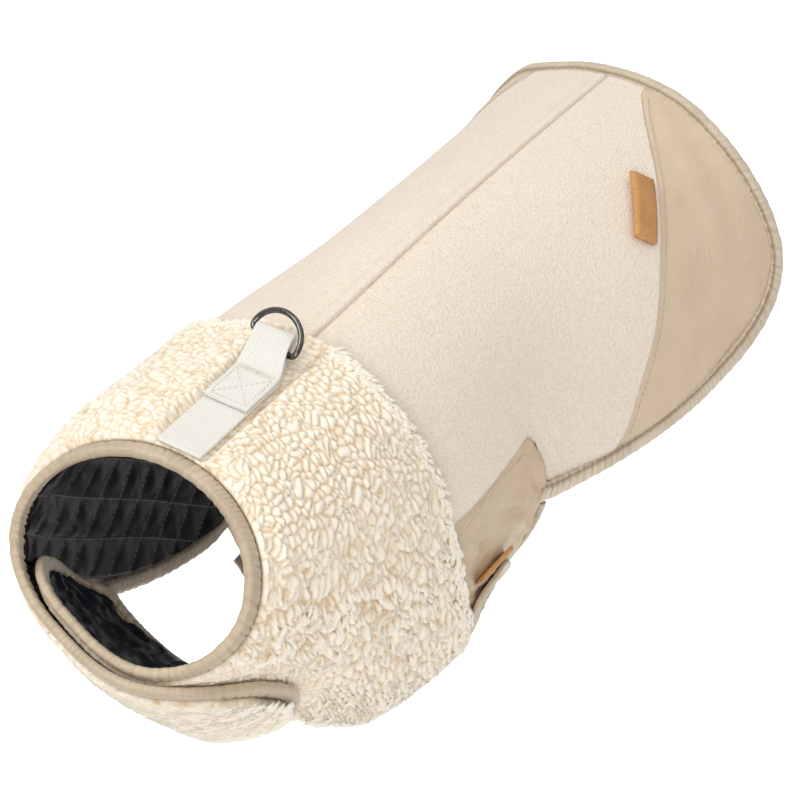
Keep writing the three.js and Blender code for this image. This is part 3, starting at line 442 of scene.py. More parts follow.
def maths(tree, operation, *values, kind="ShaderNodeMath"):
    """A Math node; the values are numbers, lists for vectors, or (node, output) pairs."""
    node = add_node(tree, kind, operation=operation)
    for k, value in enumerate(values):
        if isinstance(value, tuple):
            tree.links.new(value[0].outputs[value[1]], node.inputs[k])
        elif value is not None:
            node.inputs[k].default_value = value
    return (node, 0)


def noise(tree, source, scale, detail=2.0, roughness=0.5, distortion=0.0):
    node = add_node(tree, "ShaderNodeTexNoise", Scale=scale, Detail=detail, Roughness=roughness,
                    Distortion=distortion)
    tree.links.new(source[0].outputs[source[1]], node.inputs["Vector"])
    return node


# %% Shared effects
def grain_group():
    """Fibres: noise drawn out along one way of the cloth, and broad mottling with it."""
    tree, start, end = group_tree("fibre_grain", [
        ("Vector", "NodeSocketVector", None), ("Across", "NodeSocketFloat", 1500.0),
        ("Along", "NodeSocketFloat", 400.0), ("Swirl", "NodeSocketFloat", 0.002)],
        ["Height", "Shade"])
    vector = {"kind": "ShaderNodeVectorMath"}
    place = (start, "Vector")
    bend = noise(tree, place, 90.0, 1.0)
    shift = maths(tree, "SUBTRACT", (bend, "Color"), [0.5, 0.5, 0.5], **vector)
    scaled = maths(tree, "SCALE", shift, None, None, (start, "Swirl"), **vector)
    moved = maths(tree, "ADD", place, scaled, **vector)
    stretch = add_node(tree, "ShaderNodeCombineXYZ")
    for label, axis in (("Along", "X"), ("Across", "Y"), ("Across", "Z")):
        tree.links.new(start.outputs[label], stretch.inputs[axis])
    fibre = noise(tree, maths(tree, "MULTIPLY", moved, (stretch, 0), **vector), 1.0, 3.0, 0.6)
    tree.links.new(fibre.outputs["Fac"], end.inputs["Height"])
    mottling = maths(tree, "MULTIPLY", (noise(tree, place, 45.0), "Fac"), 0.4)
    shade = maths(tree, "MULTIPLY_ADD", (fibre, "Fac"), 0.6, mottling)
    tree.links.new(shade[0].outputs[0], end.inputs["Shade"])
    return tree


def weave_group():
    """Plain weave: warp and weft threads that pass over each other in turn."""
    tree, start, end = group_tree("plain_weave", [
        ("Vector", "NodeSocketVector", None), ("Across", "NodeSocketFloat", 900.0),
        ("Along", "NodeSocketFloat", 900.0)], ["Height"])
    split = add_node(tree, "ShaderNodeSeparateXYZ")
    tree.links.new(start.outputs["Vector"], split.inputs[0])
    u = maths(tree, "MULTIPLY", (split, "X"), (start, "Across"))
    v = maths(tree, "MULTIPLY", (split, "Y"), (start, "Along"))
    turn = maths(tree, "MODULO", maths(tree, "FLOOR", v), 2.0)
    warp_phase = maths(tree, "MULTIPLY", maths(tree, "MULTIPLY_ADD", turn, 0.5, u), 2 * math.pi)
    threads = [maths(tree, "MULTIPLY", maths(tree, "SINE", phase), 0.25)
               for phase in (warp_phase, maths(tree, "MULTIPLY", v, 2 * math.pi))]
    total = maths(tree, "ADD", maths(tree, "ADD", *threads), 0.5)
    tree.links.new(total[0].outputs[0], end.inputs["Height"])
    return tree


GRAIN = grain_group()
WEAVE = weave_group()


def place_group(tree, group, source, **values):
    node = add_node(tree, "ShaderNodeGroup")
    node.node_tree = group
    tree.links.new(source[0].outputs[source[1]], node.inputs["Vector"])
    for key, value in values.items():
        node.inputs[key].default_value = value
    return node


def even_grain(tree, source, fineness, swirl=0.0):
    return place_group(tree, GRAIN, source, Across=fineness, Along=fineness, Swirl=swirl)


def linear(colour):
    """A colour as seen, 0 to 255, in the renderer's linear values."""
    return tuple(c / 255 / 12.92 if c <= 10 else ((c / 255 + 0.055) / 1.055) ** 2.4
                 for c in colour)


def cloth_material(name, roughness, sheen=0.0, sheen_roughness=0.5, specular=0.3, metallic=0.0):
    material = bpy.data.materials.new(name)
    material.use_nodes = True
    tree = material.node_tree
    tree.nodes.clear()
    shader = add_node(tree, "ShaderNodeBsdfPrincipled", 300, Roughness=roughness,
                      Sheen_Weight=sheen, Sheen_Roughness=sheen_roughness,
                      Specular_IOR_Level=specular, Metallic=metallic)
    output = add_node(tree, "ShaderNodeOutputMaterial", 600)
    tree.links.new(shader.outputs["BSDF"], output.inputs["Surface"])
    return material, tree, shader


def ramp(tree, source, stops, shader, socket="Base Color"):
    """A colour ramp; stops are (place, (r, g, b)) with colours as seen, 0 to 255."""
    node = add_node(tree, "ShaderNodeValToRGB")
    first, last = node.color_ramp.elements
    for element, (place, colour) in ((first, stops[0]), (last, stops[-1])):
        element.position = place
        element.color = (*linear(colour), 1)
    for place, colour in stops[1:-1]:
        node.color_ramp.elements.new(place).color = (*linear(colour), 1)
    tree.links.new(source[0].outputs[source[1]], node.inputs["Fac"])
    if shader:
        tree.links.new(node.outputs["Color"], shader.inputs[socket])
    return node


def bump(tree, heights, shader):
    """Bump nodes in a chain; heights are (source, strength, distance in metres)."""
    before = None
    for source, strength, distance in heights:
        node = add_node(tree, "ShaderNodeBump", Strength=strength, Distance=distance)
        tree.links.new(source[0].outputs[source[1]], node.inputs["Height"])
        if before:
            tree.links.new(before.outputs["Normal"], node.inputs["Normal"])
        before = node
    tree.links.new(before.outputs["Normal"], shader.inputs["Normal"])


def cloth_uv(tree):
    return (add_node(tree, "ShaderNodeUVMap", uv_map="cloth"), "UV")


def own_place(tree):
    return (add_node(tree, "ShaderNodeTexCoord"), "Object")


# %% Sherpa pile
def pile_material():
    material, tree, shader = cloth_material("sherpa_pile", 0.95, 0.15, 0.6, 0.1)
    fibre = place_group(tree, GRAIN, cloth_uv(tree), Across=1700.0, Along=220.0, Swirl=0.006)
    # The depth mark paints shade and light: brown in the partings between locks and near white on
    # their tips, mixed with the fibres' own tone.
    depth = add_node(tree, "ShaderNodeAttribute", attribute_name="depth")
    tips = maths(tree, "MULTIPLY", (depth, "Fac"), 0.8)
    blend = maths(tree, "MULTIPLY_ADD", (fibre, "Shade"), 0.35, tips)
    ramp(tree, blend, [(0.14, (206, 172, 128)), (0.36, (238, 219, 190)), (0.58, (250, 239, 220)),
                       (1.0, (254, 247, 234))], shader)
    bump(tree, [((fibre, "Height"), 0.6, 0.0008)], shader)
    return material


# %% Fleece
def fleece_material():
    material, tree, shader = cloth_material("short_nap_fleece", 0.95, 0.3, 0.5, 0.1)
    place = own_place(tree)
    nap = even_grain(tree, place, 900.0, 0.004)
    soft = noise(tree, place, 620.0, 3.0, 0.65)
    half_nap = maths(tree, "MULTIPLY", (nap, "Height"), 0.5)
    mix = maths(tree, "MULTIPLY_ADD", (soft, "Fac"), 0.5, half_nap)
    ramp(tree, mix, [(0.3, (226, 206, 184)), (0.5, (239, 224, 206)), (0.7, (248, 237, 222))],
         shader)
    bump(tree, [((soft, "Fac"), 0.75, 0.0013), ((nap, "Height"), 0.5, 0.0006)], shader)
    return material


# %% Softshell panels and satin bindings
def smooth_cloth(name, light, dark, roughness, crumple, fine, gathered=False):
    material, tree, shader = cloth_material(name, roughness, 0.15, 0.4, 0.45)
    place = own_place(tree)
    thread = even_grain(tree, place, 2600.0)
    folds = noise(tree, place, 70.0, distortion=1.5)
    tone = (thread, "Shade")
    if gathered:
        # The rib mark of a gathered tape is painted shade, dark in its valleys and along its stitch
        # line.
        rib = add_node(tree, "ShaderNodeAttribute", attribute_name="rib")
        tone = maths(tree, "MULTIPLY_ADD", (rib, "Fac"), 0.5, maths(tree, "MULTIPLY", tone, 0.5))
    ramp(tree, tone, [(0.3, dark), (0.7, light)], shader)
    bump(tree, [((folds, "Fac"), crumple, 0.003), ((thread, "Height"), fine, 0.0002)], shader)
    return material


# %% Quilted satin lining
QUILT_LONG = 30
QUILT_ROUND = 21
STITCHES_PER_SIDE = 7.0
STITCH_SHARE = 0.62
STITCH_WIDTH = 0.018


def quilt_stitches(tree, uv):
    """1 on the dashes of thread along the diamonds' sides."""
    split = add_node(tree, "ShaderNodeSeparateXYZ")
    tree.links.new(uv[0].outputs[uv[1]], split.inputs[0])
    u = maths(tree, "DIVIDE", (split, "X"), QUILT_ROUND * MM)
    v = maths(tree, "DIVIDE", (split, "Y"), QUILT_LONG * MM)
    dashes = []
    for across, ahead in (("ADD", "SUBTRACT"), ("SUBTRACT", "ADD")):
        near = maths(tree, "PINGPONG", maths(tree, across, u, v), 0.5)
        close = maths(tree, "LESS_THAN", near, STITCH_WIDTH)
        run = maths(tree, "MULTIPLY", maths(tree, ahead, u, v), STITCHES_PER_SIDE)
        shown = maths(tree, "LESS_THAN", maths(tree, "FRACT", run), STITCH_SHARE)
        dashes.append(maths(tree, "MULTIPLY", close, shown))
    return maths(tree, "MAXIMUM", *dashes)


def lining_material(name, dark, light, quilted=True):
    material, tree, shader = cloth_material(name, 0.42, 0.0, 0.5, 0.12)
    uv = cloth_uv(tree)
    thread = even_grain(tree, uv, 2600.0)
    folds = noise(tree, uv, 75.0, 1.0, 0.45, 0.6)
    colour = ramp(tree, (thread, "Shade"), [(0.3, dark), (0.75, light)],
                  None if quilted else shader)
    if quilted:
        mix = add_node(tree, "ShaderNodeMix", data_type="RGBA")
        tree.links.new(quilt_stitches(tree, uv)[0].outputs[0], mix.inputs["Factor"])
        tree.links.new(colour.outputs["Color"], mix.inputs["A"])
        mix.inputs["B"].default_value = (*linear((104, 96, 92)), 1)
        tree.links.new(mix.outputs["Result"], shader.inputs["Base Color"])
    bump(tree, [((folds, "Fac"), 0.35, 0.003), ((thread, "Height"), 0.12, 0.0002)], shader)
    return material


# %% Webbing, leather, thread and ring
def webbing_material():
    material, tree, shader = cloth_material("cotton_webbing", 0.85, 0.15, 0.5, 0.2)
    uv = cloth_uv(tree)
    weave = place_group(tree, WEAVE, uv, Across=760.0, Along=900.0)
    fibre = even_grain(tree, uv, 2500.0)
    fuzz = maths(tree, "MULTIPLY", (fibre, "Shade"), 0.4)
    mix = maths(tree, "MULTIPLY_ADD", (weave, "Height"), 0.6, fuzz)
    ramp(tree, mix, [(0.2, (222, 216, 202)), (0.6, (247, 245, 237)), (0.9, (252, 251, 246))],
         shader)
    bump(tree, [((weave, "Height"), 0.8, 0.0006), ((fibre, "Height"), 0.3, 0.0002)], shader)
    return material


def leather_material():
    material, tree, shader = cloth_material("tan_leather", 0.5, 0.0, 0.5, 0.4)
    place = own_place(tree)
    pores = add_node(tree, "ShaderNodeTexVoronoi", Scale=1400.0)
    tree.links.new(place[0].outputs[place[1]], pores.inputs["Vector"])
    grain = even_grain(tree, place, 900.0, 0.004)
    ramp(tree, (grain, "Shade"), [(0.25, (162, 108, 56)), (0.5, (196, 142, 84)),
                                  (0.75, (214, 164, 106))], shader)
    bump(tree, [((pores, "Distance"), 0.25, 0.0002), ((grain, "Height"), 0.3, 0.0003)], shader)
    return material


def thread_material(name, light, dark):
    material, tree, shader = cloth_material(name, 0.6, 0.1, 0.5, 0.3)
    grain = even_grain(tree, own_place(tree), 4000.0)
    ramp(tree, (grain, "Shade"), [(0.3, dark), (0.7, light)], shader)
    bump(tree, [((grain, "Height"), 0.4, 0.0001)], shader)
    return material


def ring_material():
    material, tree, shader = cloth_material("gunmetal", 0.14, 0.0, 0.5, 0.5, metallic=1.0)
    wear = noise(tree, own_place(tree), 600.0, 3.0)
    ramp(tree, (wear, "Fac"), [(0.3, (84, 82, 80)), (0.7, (112, 110, 108))], shader)
    rough = add_node(tree, "ShaderNodeMapRange", To_Min=0.08, To_Max=0.16)
    tree.links.new(wear.outputs["Fac"], rough.inputs["Value"])
    tree.links.new(rough.outputs["Result"], shader.inputs["Roughness"])
    return material


PILE = pile_material()
FLEECE = fleece_material()
PANEL = smooth_cloth("softshell", (220, 199, 171), (206, 183, 153), 0.55, 0.22, 0.2)
LOOSE_PANEL = smooth_cloth("loose_softshell", (212, 190, 160), (194, 170, 138), 0.5, 0.6, 0.2)
# All the bindings are one satin. The hem's copy is lighter because the hem faces the light: painted
# light.
BINDING = smooth_cloth("gathered_satin", (206, 188, 162), (132, 112, 86), 0.42, 0.4, 0.3,
                       gathered=True)
LIT_HEM_SATIN = smooth_cloth("gathered_satin_lit_hem", (228, 212, 189), (158, 138, 110), 0.42, 0.4, 0.3,
                         gathered=True)
LINING = lining_material("quilted_satin", (13, 8, 8), (24, 17, 16))
FLAP_LINING = lining_material("plain_satin", (20, 20, 25), (34, 35, 42), quilted=False)
WEBBING = webbing_material()
LEATHER = leather_material()
THREAD = thread_material("taupe_thread", (190, 173, 148), (150, 133, 108))
PALE_THREAD = thread_material("pale_thread", (240, 236, 224), (205, 199, 184))
METAL = ring_material()
print("materials:", len(bpy.data.materials))

# %% [markdown]
# ## Sherpa yokes and chest flaps
# Sherpa is a knitted cloth whose pile has curled into locks. Hair curves would render well, but
# they don't survive an export, and one mesh per lock is far too heavy. So the locks are a relief
# in the outer grid: centres are scattered over it, each lock is the cloth around its own centre,
# and a parting runs where two locks are equally near. The same relief goes to the material as
# painted shade, dark in the partings, and painted light on the tips. The locks are round at the
# withers and long and hanging lower down. Loose locks then break up the rear edge and the outline.

# %% Locks drawn as a relief
PILE_FULL = 6.5
PILE_PRESSED = 1.2
PILE_FLAP = 4.6
PILE_UNDER_FLAP = 2.2
# length and width of a lock in mm
ROUND_LOCK = (4.6, 3.8)
HANGING_LOCK = (10.5, 3.1)
LOCK_HEIGHT = 2.6
HANGING_EXTRA = 1.9
LOCK_MIDDLE = 0.68
LOCK_SLANT = 9
# the pattern of locks repeats after this many, round and along
LOCK_TABLE = (199, 211)
PARTING = 0.55
# painted shade of a loose lock, dark at its root down in the pile and light at its tip, and how
# thick it is
LOCK_SHADE = np.array([0.3, 0.55, 0.75, 0.85, 0.95, 1.0])
LOCK_TAPER = np.array([0.6, 1.0, 1.05, 0.9, 0.6, 0.12])
LOCK_SIDES = 5
LOOSE_LOCKS = 1300


def pile_lift(side, along, angle):
    across = np.radians(angle) * through(RINGS[:, 0], RINGS[:, 5], along)
    beside = np.maximum(ease(13.6, 17.3, across), ease(100, 108, along))
    on_flap = ease(112, 128, angle) if side == "right" else 0
    full = (PILE_FULL + (PILE_FLAP - PILE_FULL) * on_flap) * (0.5 + 0.5 * ease(4, 18, along))
    lift = PILE_PRESSED + (full - PILE_PRESSED) * beside
    if side == "right":
        return lift
    under = ease(104, 118, angle) * (1 - ease(68, 84, along))
    return lift + (PILE_UNDER_FLAP - lift) * under


def smooth_noise(rows, columns, cell, spread):
    """Slow random values over a grid, one new value for each cell."""
    coarse = dice.normal(0, spread, (rows // cell + 3, columns // cell + 3))
    i = np.linspace(0, coarse.shape[0] - 1.001, rows)
    j = np.linspace(0, coarse.shape[1] - 1.001, columns)
    a, b = i.astype(int)[:, None], j.astype(int)[None]
    s = ease(0, 1, i - i.astype(int))[:, None]
    t = ease(0, 1, j - j.astype(int))[None]
    upper = coarse[a, b] * (1 - t) + coarse[a, b + 1] * t
    lower = coarse[a + 1, b] * (1 - t) + coarse[a + 1, b + 1] * t
    return upper * (1 - s) + lower * s


def lock_relief(round_mm, along_mm, lowness):
    """Height of the locks over a grid, 0 in the partings and 1 on the tips."""
    rows, columns = round_mm.shape
    sway = smooth_noise(rows, columns, 10, 2.0), smooth_noise(rows, columns, 10, 2.0)
    curl = smooth_noise(rows, columns, 4, 0.45), smooth_noise(rows, columns, 4, 0.45)
    x = round_mm + sway[0] + curl[0]
    y = along_mm + sway[1] + curl[1]
    turn = math.radians(LOCK_SLANT)
    ahead = x * math.cos(turn) + y * math.sin(turn)
    aside = y * math.cos(turn) - x * math.sin(turn)
    mixed = 0
    for (long, wide), share in ((ROUND_LOCK, 1 - lowness), (HANGING_LOCK, lowness)):
        table = dice.uniform(0.08, 0.92, (2, *LOCK_TABLE))
        rise = dice.uniform(0.7, 1.0, LOCK_TABLE)
        u, v = ahead / long, aside / wide
        nearest, second = np.full(u.shape, 9.0), np.full(u.shape, 9.0)
        tall, front = np.zeros(u.shape), np.zeros(u.shape)
        for shift in range(9):
            cell_u, cell_v = np.floor(u) + shift % 3 - 1, np.floor(v) + shift // 3 - 1
            pick = cell_u.astype(int) % LOCK_TABLE[0], cell_v.astype(int) % LOCK_TABLE[1]
            off_u, off_v = u - cell_u - table[0][pick], v - cell_v - table[1][pick]
            away = np.hypot(off_u, off_v)
            closer = away < nearest
            second = np.where(closer, nearest, np.minimum(second, away))
            tall, front = np.where(closer, rise[pick], tall), np.where(closer, off_u, front)
            nearest = np.where(closer, away, nearest)
        puff = np.clip((second - nearest) / PARTING, 0, 1) ** 0.7
        tip = 0.78 + (0.3 + 0.4 * lowness) * np.clip(front, -0.6, 0.5)
        mixed = mixed + share * puff * tall * tip
    return np.clip(mixed, 0, 1)


# %% Build both yokes
def yoke(side):
    front, rear = yoke_borders(side)
    along, angle, _ = grid_between(front, rear, 148, 0.92, corners=(SEAM_END,))
    stand = lap(side, along, angle) + sag(side, along, angle)
    room = pile_lift(side, along, angle)
    on_flap = ease(112, 128, angle) * (1 - ease(60, 85, along))
    lowness = ease(48, 92, angle) * (1 - 0.7 * on_flap)
    relief = lock_relief(arc_grid(along, angle), along, lowness)
    height = (LOCK_HEIGHT + HANGING_EXTRA * lowness) * np.clip((room - 1) / 4, 0.2, 1)
    shown = room + stand + (relief - LOCK_MIDDLE) * height
    # The relief also goes to the material as the depth mark: painted shade in the partings, painted
    # light on the tips.
    thing = panel("sherpa_yoke", side, along, angle, shown, stand - CLOTH, ("yoke", PILE, "pile"),
                  stand - 1, step=8, marks={"depth": relief})
    print(thing.name, "triangles", sum(len(p.vertices) - 2 for p in thing.data.polygons))


for side in SIGN:
    yoke(side)


# %% Loose locks over the edges
def lock_faces(first, rings):
    """Faces of one lock, a tapered tube closed at both ends, from its first point on."""
    corners = range(LOCK_SIDES)
    turned = [(k + 1) % LOCK_SIDES for k in corners]
    faces = []
    for ring in range(first, first + (rings - 1) * LOCK_SIDES, LOCK_SIDES):
        above = ring + LOCK_SIDES
        faces += [(ring + k, ring + n, above + n, above + k) for k, n in zip(corners, turned)]
    return [*faces, tuple(first + k for k in corners)[::-1], tuple(above + k for k in corners)]


def loose_locks(side):
    """Small tapered locks that break up the yoke's rear edge and its outline."""
    front, rear = yoke_borders(side)
    last = len(front) - 1
    place = dice.uniform(0, last, LOOSE_LOCKS)
    at_edge = dice.uniform(0, 1, LOOSE_LOCKS) < 0.5
    near_rim = dice.uniform(0.95, 1.01, LOOSE_LOCKS)
    far = np.where(at_edge, near_rim, dice.uniform(0.06, 1.0, LOOSE_LOCKS))
    a, b = border_at(front, place, (SEAM_END,)), border_at(rear, place, (SEAM_END,))
    along, angle = (a * (1 - far[:, None]) + b * far[:, None]).T
    keep = (angle > 12) & ((far > 0.94) | (angle > 84))
    along, angle = along[keep], angle[keep]
    count = len(along)
    base = form(along, SIGN[side] * angle, lap(side, along, angle) + sag(side, along, angle))
    lengthwise, round_, outward = form_frame(along, SIGN[side] * angle)
    room = pile_lift(side, along, angle)
    heading = 0.75 - 0.55 * ease(60, 115, angle) + dice.normal(0, 0.4, count)
    way = round_ * (SIGN[side] * np.cos(heading))[:, None] + lengthwise * np.sin(heading)[:, None]
    aside = np.cross(outward, way)
    length = dice.uniform(5, 9, count)
    wide = dice.uniform(0.75, 1.3, count)
    bend = dice.normal(0, 0.8, count)
    s = np.linspace(0, 1, len(LOCK_TAPER))
    lifted = room[:, None] - 2.3 + 1.7 * np.sin(math.pi * (0.1 + 0.72 * s))
    path = (base[:, None] + way[:, None] * ((s - 0.35) * length[:, None])[..., None]
            + aside[:, None] * (bend[:, None] * s**2)[..., None]
            + outward[:, None] * lifted[..., None])
    turn = np.arange(LOCK_SIDES) * 2 * math.pi / LOCK_SIDES
    circle = (aside[:, None, None] * np.cos(turn)[:, None]
              + outward[:, None, None] * np.sin(turn)[:, None])
    points = path[:, :, None] + circle * (wide[:, None] * LOCK_TAPER)[..., None, None]
    faces = []
    for lock in range(count):
        faces += lock_faces(lock * len(s) * LOCK_SIDES, len(s))
    mesh = bpy.data.meshes.new(f"sherpa_locks_{side}")
    mesh.from_pydata((points.reshape(-1, 3) * MM).tolist(), [], faces)
    a, b, c = points[0, 2, 0], points[0, 2, 1], points[0, 3, 0]
    if np.dot(np.cross(b - a, c - a), a - path[0, 2]) < 0:
        mesh.flip_normals()
    run = (s * length[:, None])[..., None] + dice.uniform(0, 90, count)[:, None, None] + 0 * turn
    lay_uv(mesh, np.stack([run, turn * wide[:, None, None] + 0 * run], -1))
    # The depth mark paints shade on each loose lock, dark at the root and light at the tip.
    mark_points(mesh, "depth", LOCK_SHADE[None, :, None] + np.zeros(points.shape[:3]))
    mesh.shade_smooth()
    print(f"loose locks, {side}:", count)
    piece(f"sherpa_locks_{side}", mesh, PILE)


for side in SIGN:
    loose_locks(side)

# %% [markdown]
# ## Fleece back
# The back is two long halves of short-nap fleece. It lies almost smooth, with a dent where the
# side panel pulls at it, a few slack waves on the flanks, and the felled seam down the middle.

# %% Felled back seam
FELL_WIDTH = 7.5


def fell():
    along = np.linspace(111, 425, 161)[:, None]
    across = np.linspace(-1, 1, 17)[None]
    half = np.degrees(FELL_WIDTH / 2 / through(RINGS[:, 0], RINGS[:, 5], along))
    angle = across * half
    along = along + 0 * across
    crown = 1.9 * (1 - np.abs(across) ** 5) ** 0.5 * (0.55 + 0.45 * ease(-1, 0.3, across))
    lift = 0.35 + crown + 0.15 * np.sin(along * 1.15) * ease(0.4, 0.9, across)
    outer = form(along, angle, lift)
    inner = form(along, angle, 0.2 + 0 * lift)
    uv = np.stack([across * FELL_WIDTH / 2 + 0 * along, along], -1)
    mesh = wall_mesh("back_seam_fell_strip", outer, inner, uv)
    return piece("back_seam_fell_strip", mesh, FLEECE, replaces="back_seam_fell")


seam_strip = fell()

# %% Fleece halves
BACK_START = 110
# points where the lower border turns: at the side panel, and at the rump seam's two ends
SIDE_CORNER, RUMP_START, RUMP_END = 4, 8, 19


def seam_pull(along, angle):
    """Small gathers where the side panel's rear corner pulls at the fleece."""
    near = np.exp(-(((along - 222) / 13) ** 2) - ((angle - 84) / 9) ** 2)
    return near * 0.9 * np.sin((along - 0.9 * angle) * 0.75)


def soft_creases(along, angle):
    broad = 0.5 * np.sin(along * 0.031 + angle * 0.05) * ease(15, 60, angle)
    return broad + 0.35 * np.sin(along * 0.085 - angle * 0.11 + 2) * ease(50, 85, angle)


def back_lower(side):
    return np.array([(133, 82), SIDE_TOP_MIDDLE, *SIDE_REAR[:3], *HEM_FLANK, *RUMP_SEAM[side],
                     HEM_TAIL[side][0]], float)


def back_grid(side, spacing, columns):
    lower = back_lower(side)
    count = len(lower) - 1
    yoke_rows = np.array(YOKE_BODY, float)
    places = even_places(lower, lower * (1, 0.4), spacing, corners=(RUMP_START, RUMP_END))
    edge = border_at(lower, places, corners=(SIDE_CORNER, RUMP_START, RUMP_END))
    evenly = places / count
    by_length = (edge[:, 0] - lower[0, 0]) / (lower[-1, 0] - lower[0, 0])
    seam = BACK_START + (HEM_TAIL[side][2][0] - BACK_START) * (0.4 * evenly + 0.6 * by_length)
    t = np.linspace(0, 1, columns + 1)[None]
    gap = 0.25
    along = seam[:, None] * (1 - t) + edge[:, 0:1] * t
    angle = gap * (1 - t) + (edge[:, 1:2] - gap) * t
    straight = BACK_START + (lower[0, 0] - BACK_START) * t
    pulled = through(yoke_rows[:, 2], yoke_rows[:, 1], lower[0, 1] * t) - straight
    along = along + pulled * np.clip(1 - evenly * 4, 0, None)[:, None] + gap * (1 - evenly)[:, None]
    return along, angle


def back(side):
    along, angle = back_grid(side, 2.0, 64)
    stand = slack(along, angle) + sag(side, along, angle) + seam_pull(along, angle)
    stand = stand + soft_creases(along, angle)
    look = "back", FLEECE, "fleece"
    panel("fleece_back", side, along, angle, stand, stand - CLOTH, look, stand)


for side in SIGN:
    back(side)

# %% [markdown]
# ## Rump and side panels
# These are smooth softshell. The rump panels lie flat behind a topstitched seam; the side panels
# hang loose and crumple, and run on into the belly flap and the strap that crosses over it.

# %% Rump panels
def rump(side):
    seam = np.array(RUMP_SEAM[side], float) - (1.2, 0.8)
    hem = np.array(HEM_RUMP[side], float)
    tail = np.array(HEM_TAIL[side][0], float)
    seam, hem = np.vstack([seam, tail - (1.5, 0.8)]), np.vstack([hem, tail + (0, 1)])
    along, angle, _ = grid_between(seam, hem, 40, 1.8)
    stand = slack(along, angle) + sag(side, along, angle)
    ripple = 0.25 * np.sin(along * 0.19 + angle * 0.22) + 0.2 * np.sin(along * 0.07 - angle * 0.3)
    under = np.exp(-np.linspace(0, 1, 41) * 14)[:, None]
    shown = stand - 0.3 - 1.1 * under + ripple * (1 - under)
    look = "rump", PANEL, "panel"
    panel("rump_panel", side, along, angle, shown, stand - CLOTH, look, shown)


for side in SIGN:
    rump(side)


# %% Side panels, belly flap and strap
CREASE_DEPTH = 2.2
# along, angle, slant in degrees, reach and width in mm, depth
CREASES = (
    (158, 92, 35, 14, 2.6, 0.9), (172, 96, 30, 18, 3.2, -1.0), (186, 101, 42, 16, 2.8, 0.9),
    (196, 92, 25, 14, 3.0, -0.9), (206, 99, 50, 13, 2.6, 1.0), (181, 112, 15, 20, 3.4, -1.1),
    (202, 112, 28, 13, 2.8, 0.9), (168, 106, 50, 12, 2.6, 0.8), (212, 88, 60, 10, 2.2, -0.7),
)


def crumple(along, angle):
    """Slanting creases of the loose side panel, each with its own place, length and depth."""
    total = 0
    for mid_along, mid_angle, slant, reach, width, depth in CREASES:
        x = along - mid_along
        y = (angle - mid_angle) * 1.7
        turn = math.radians(slant)
        ahead = x * math.cos(turn) + y * math.sin(turn)
        aside = y * math.cos(turn) - x * math.sin(turn)
        total = total + depth * np.exp(-(ahead / reach) ** 2 - (aside / width) ** 2)
    return total * ease(83, 90, angle) * (1 - ease(124, 140, angle))


def side_grid(side, rows, spacing):
    front = np.array(SIDE_FRONT[side], float) + (0.5, 0.25)
    front = np.concatenate([front, np.array(BELLY_FRONT[side], float)])
    rear = np.array(SIDE_REAR + BELLY_REAR[side], float)
    along, angle, places = grid_between(front, rear, rows, spacing)
    t = np.linspace(0, 1, rows + 1)[:, None]
    bulge = SIDE_TOP_MIDDLE[1] - (SIDE_FRONT[side][0][1] + SIDE_REAR[0][1]) / 2
    top = np.clip(1 - places, 0, None)[None]
    angle = angle + top * (bulge * (1 - np.abs(2 * t - 1)) - 1.4)
    along = along - 0.5 * t * (places < 4)[None]
    return along, angle


def side_panel(side):
    along, angle = side_grid(side, 56, 1.5)
    strap = STRAP_RISE * ease(138, 152, angle) if side == "right" else 0
    wrinkle = (0.6 + 0.6 * np.sin(angle * 0.21 + along * 0.16)) * ease(84, 96, angle)
    stand = strap + wrinkle * (1 - ease(118, 130, angle)) + sag(side, along, angle)
    under = np.exp(-np.linspace(0, 1, along.shape[1]) * 55)[None]
    fine = smooth_noise(*along.shape, 4, 0.3) * ease(84, 92, angle)
    rear_edge = ease(0.9, 1, np.linspace(0, 1, 57))[:, None]
    fine = fine + 1.2 * rear_edge * ease(78, 84, angle) * (1 - ease(94, 104, angle))
    creases = CREASE_DEPTH * crumple(along, angle)
    shown = stand - 0.1 - 1.3 * under + creases + fine
    hidden = stand - CLOTH - 0.4 + np.minimum(creases, 0)
    look = "side", LOOSE_PANEL, "panel"
    panel("side_panel", side, along, angle, shown, hidden, look, stand)


for side in SIGN:
    side_panel(side)

# %% [markdown]
# ## Quilted lining
# Satin is quilted to thin wadding in diamonds, so it puffs between its stitch lines on the face
# that touches the wearer. The puffs are a relief on that face, worked out from the distance to
# the nearest stitch line; the dashes of thread are in the material, along the same lines.

# %% Body lining
LINING_OUTER = -3.3
LINING_INNER = -5.9
LINING_CLEAR = 1.2
QUILT_PUFF = 2.4


def lining_lower(side):
    return np.array([*LINING_LEG[side], (211, 121), (213.5, 108), (217, 97), *HEM_FLANK,
                     *HEM_RUMP[side], *HEM_TAIL[side]], float)


def point_along(border, share):
    step = np.hypot(np.diff(border[:, 0]), np.diff(border[:, 1]) * 1.6)
    length = np.concatenate([[0], np.cumsum(step)]) / step.sum()
    return np.stack([np.interp(share, length, border[:, k]) for k in range(2)], -1)


def quilt(round_mm, along):
    """Puff between the diamonds' stitch lines, 0 on a line and 1 in the middle."""
    u, v = round_mm / QUILT_ROUND, along / QUILT_LONG
    near = np.minimum(np.abs((u + v + 0.5) % 1 - 0.5), np.abs((u - v + 0.5) % 1 - 0.5))
    return np.clip(near * 2, 0, 1) ** 0.45


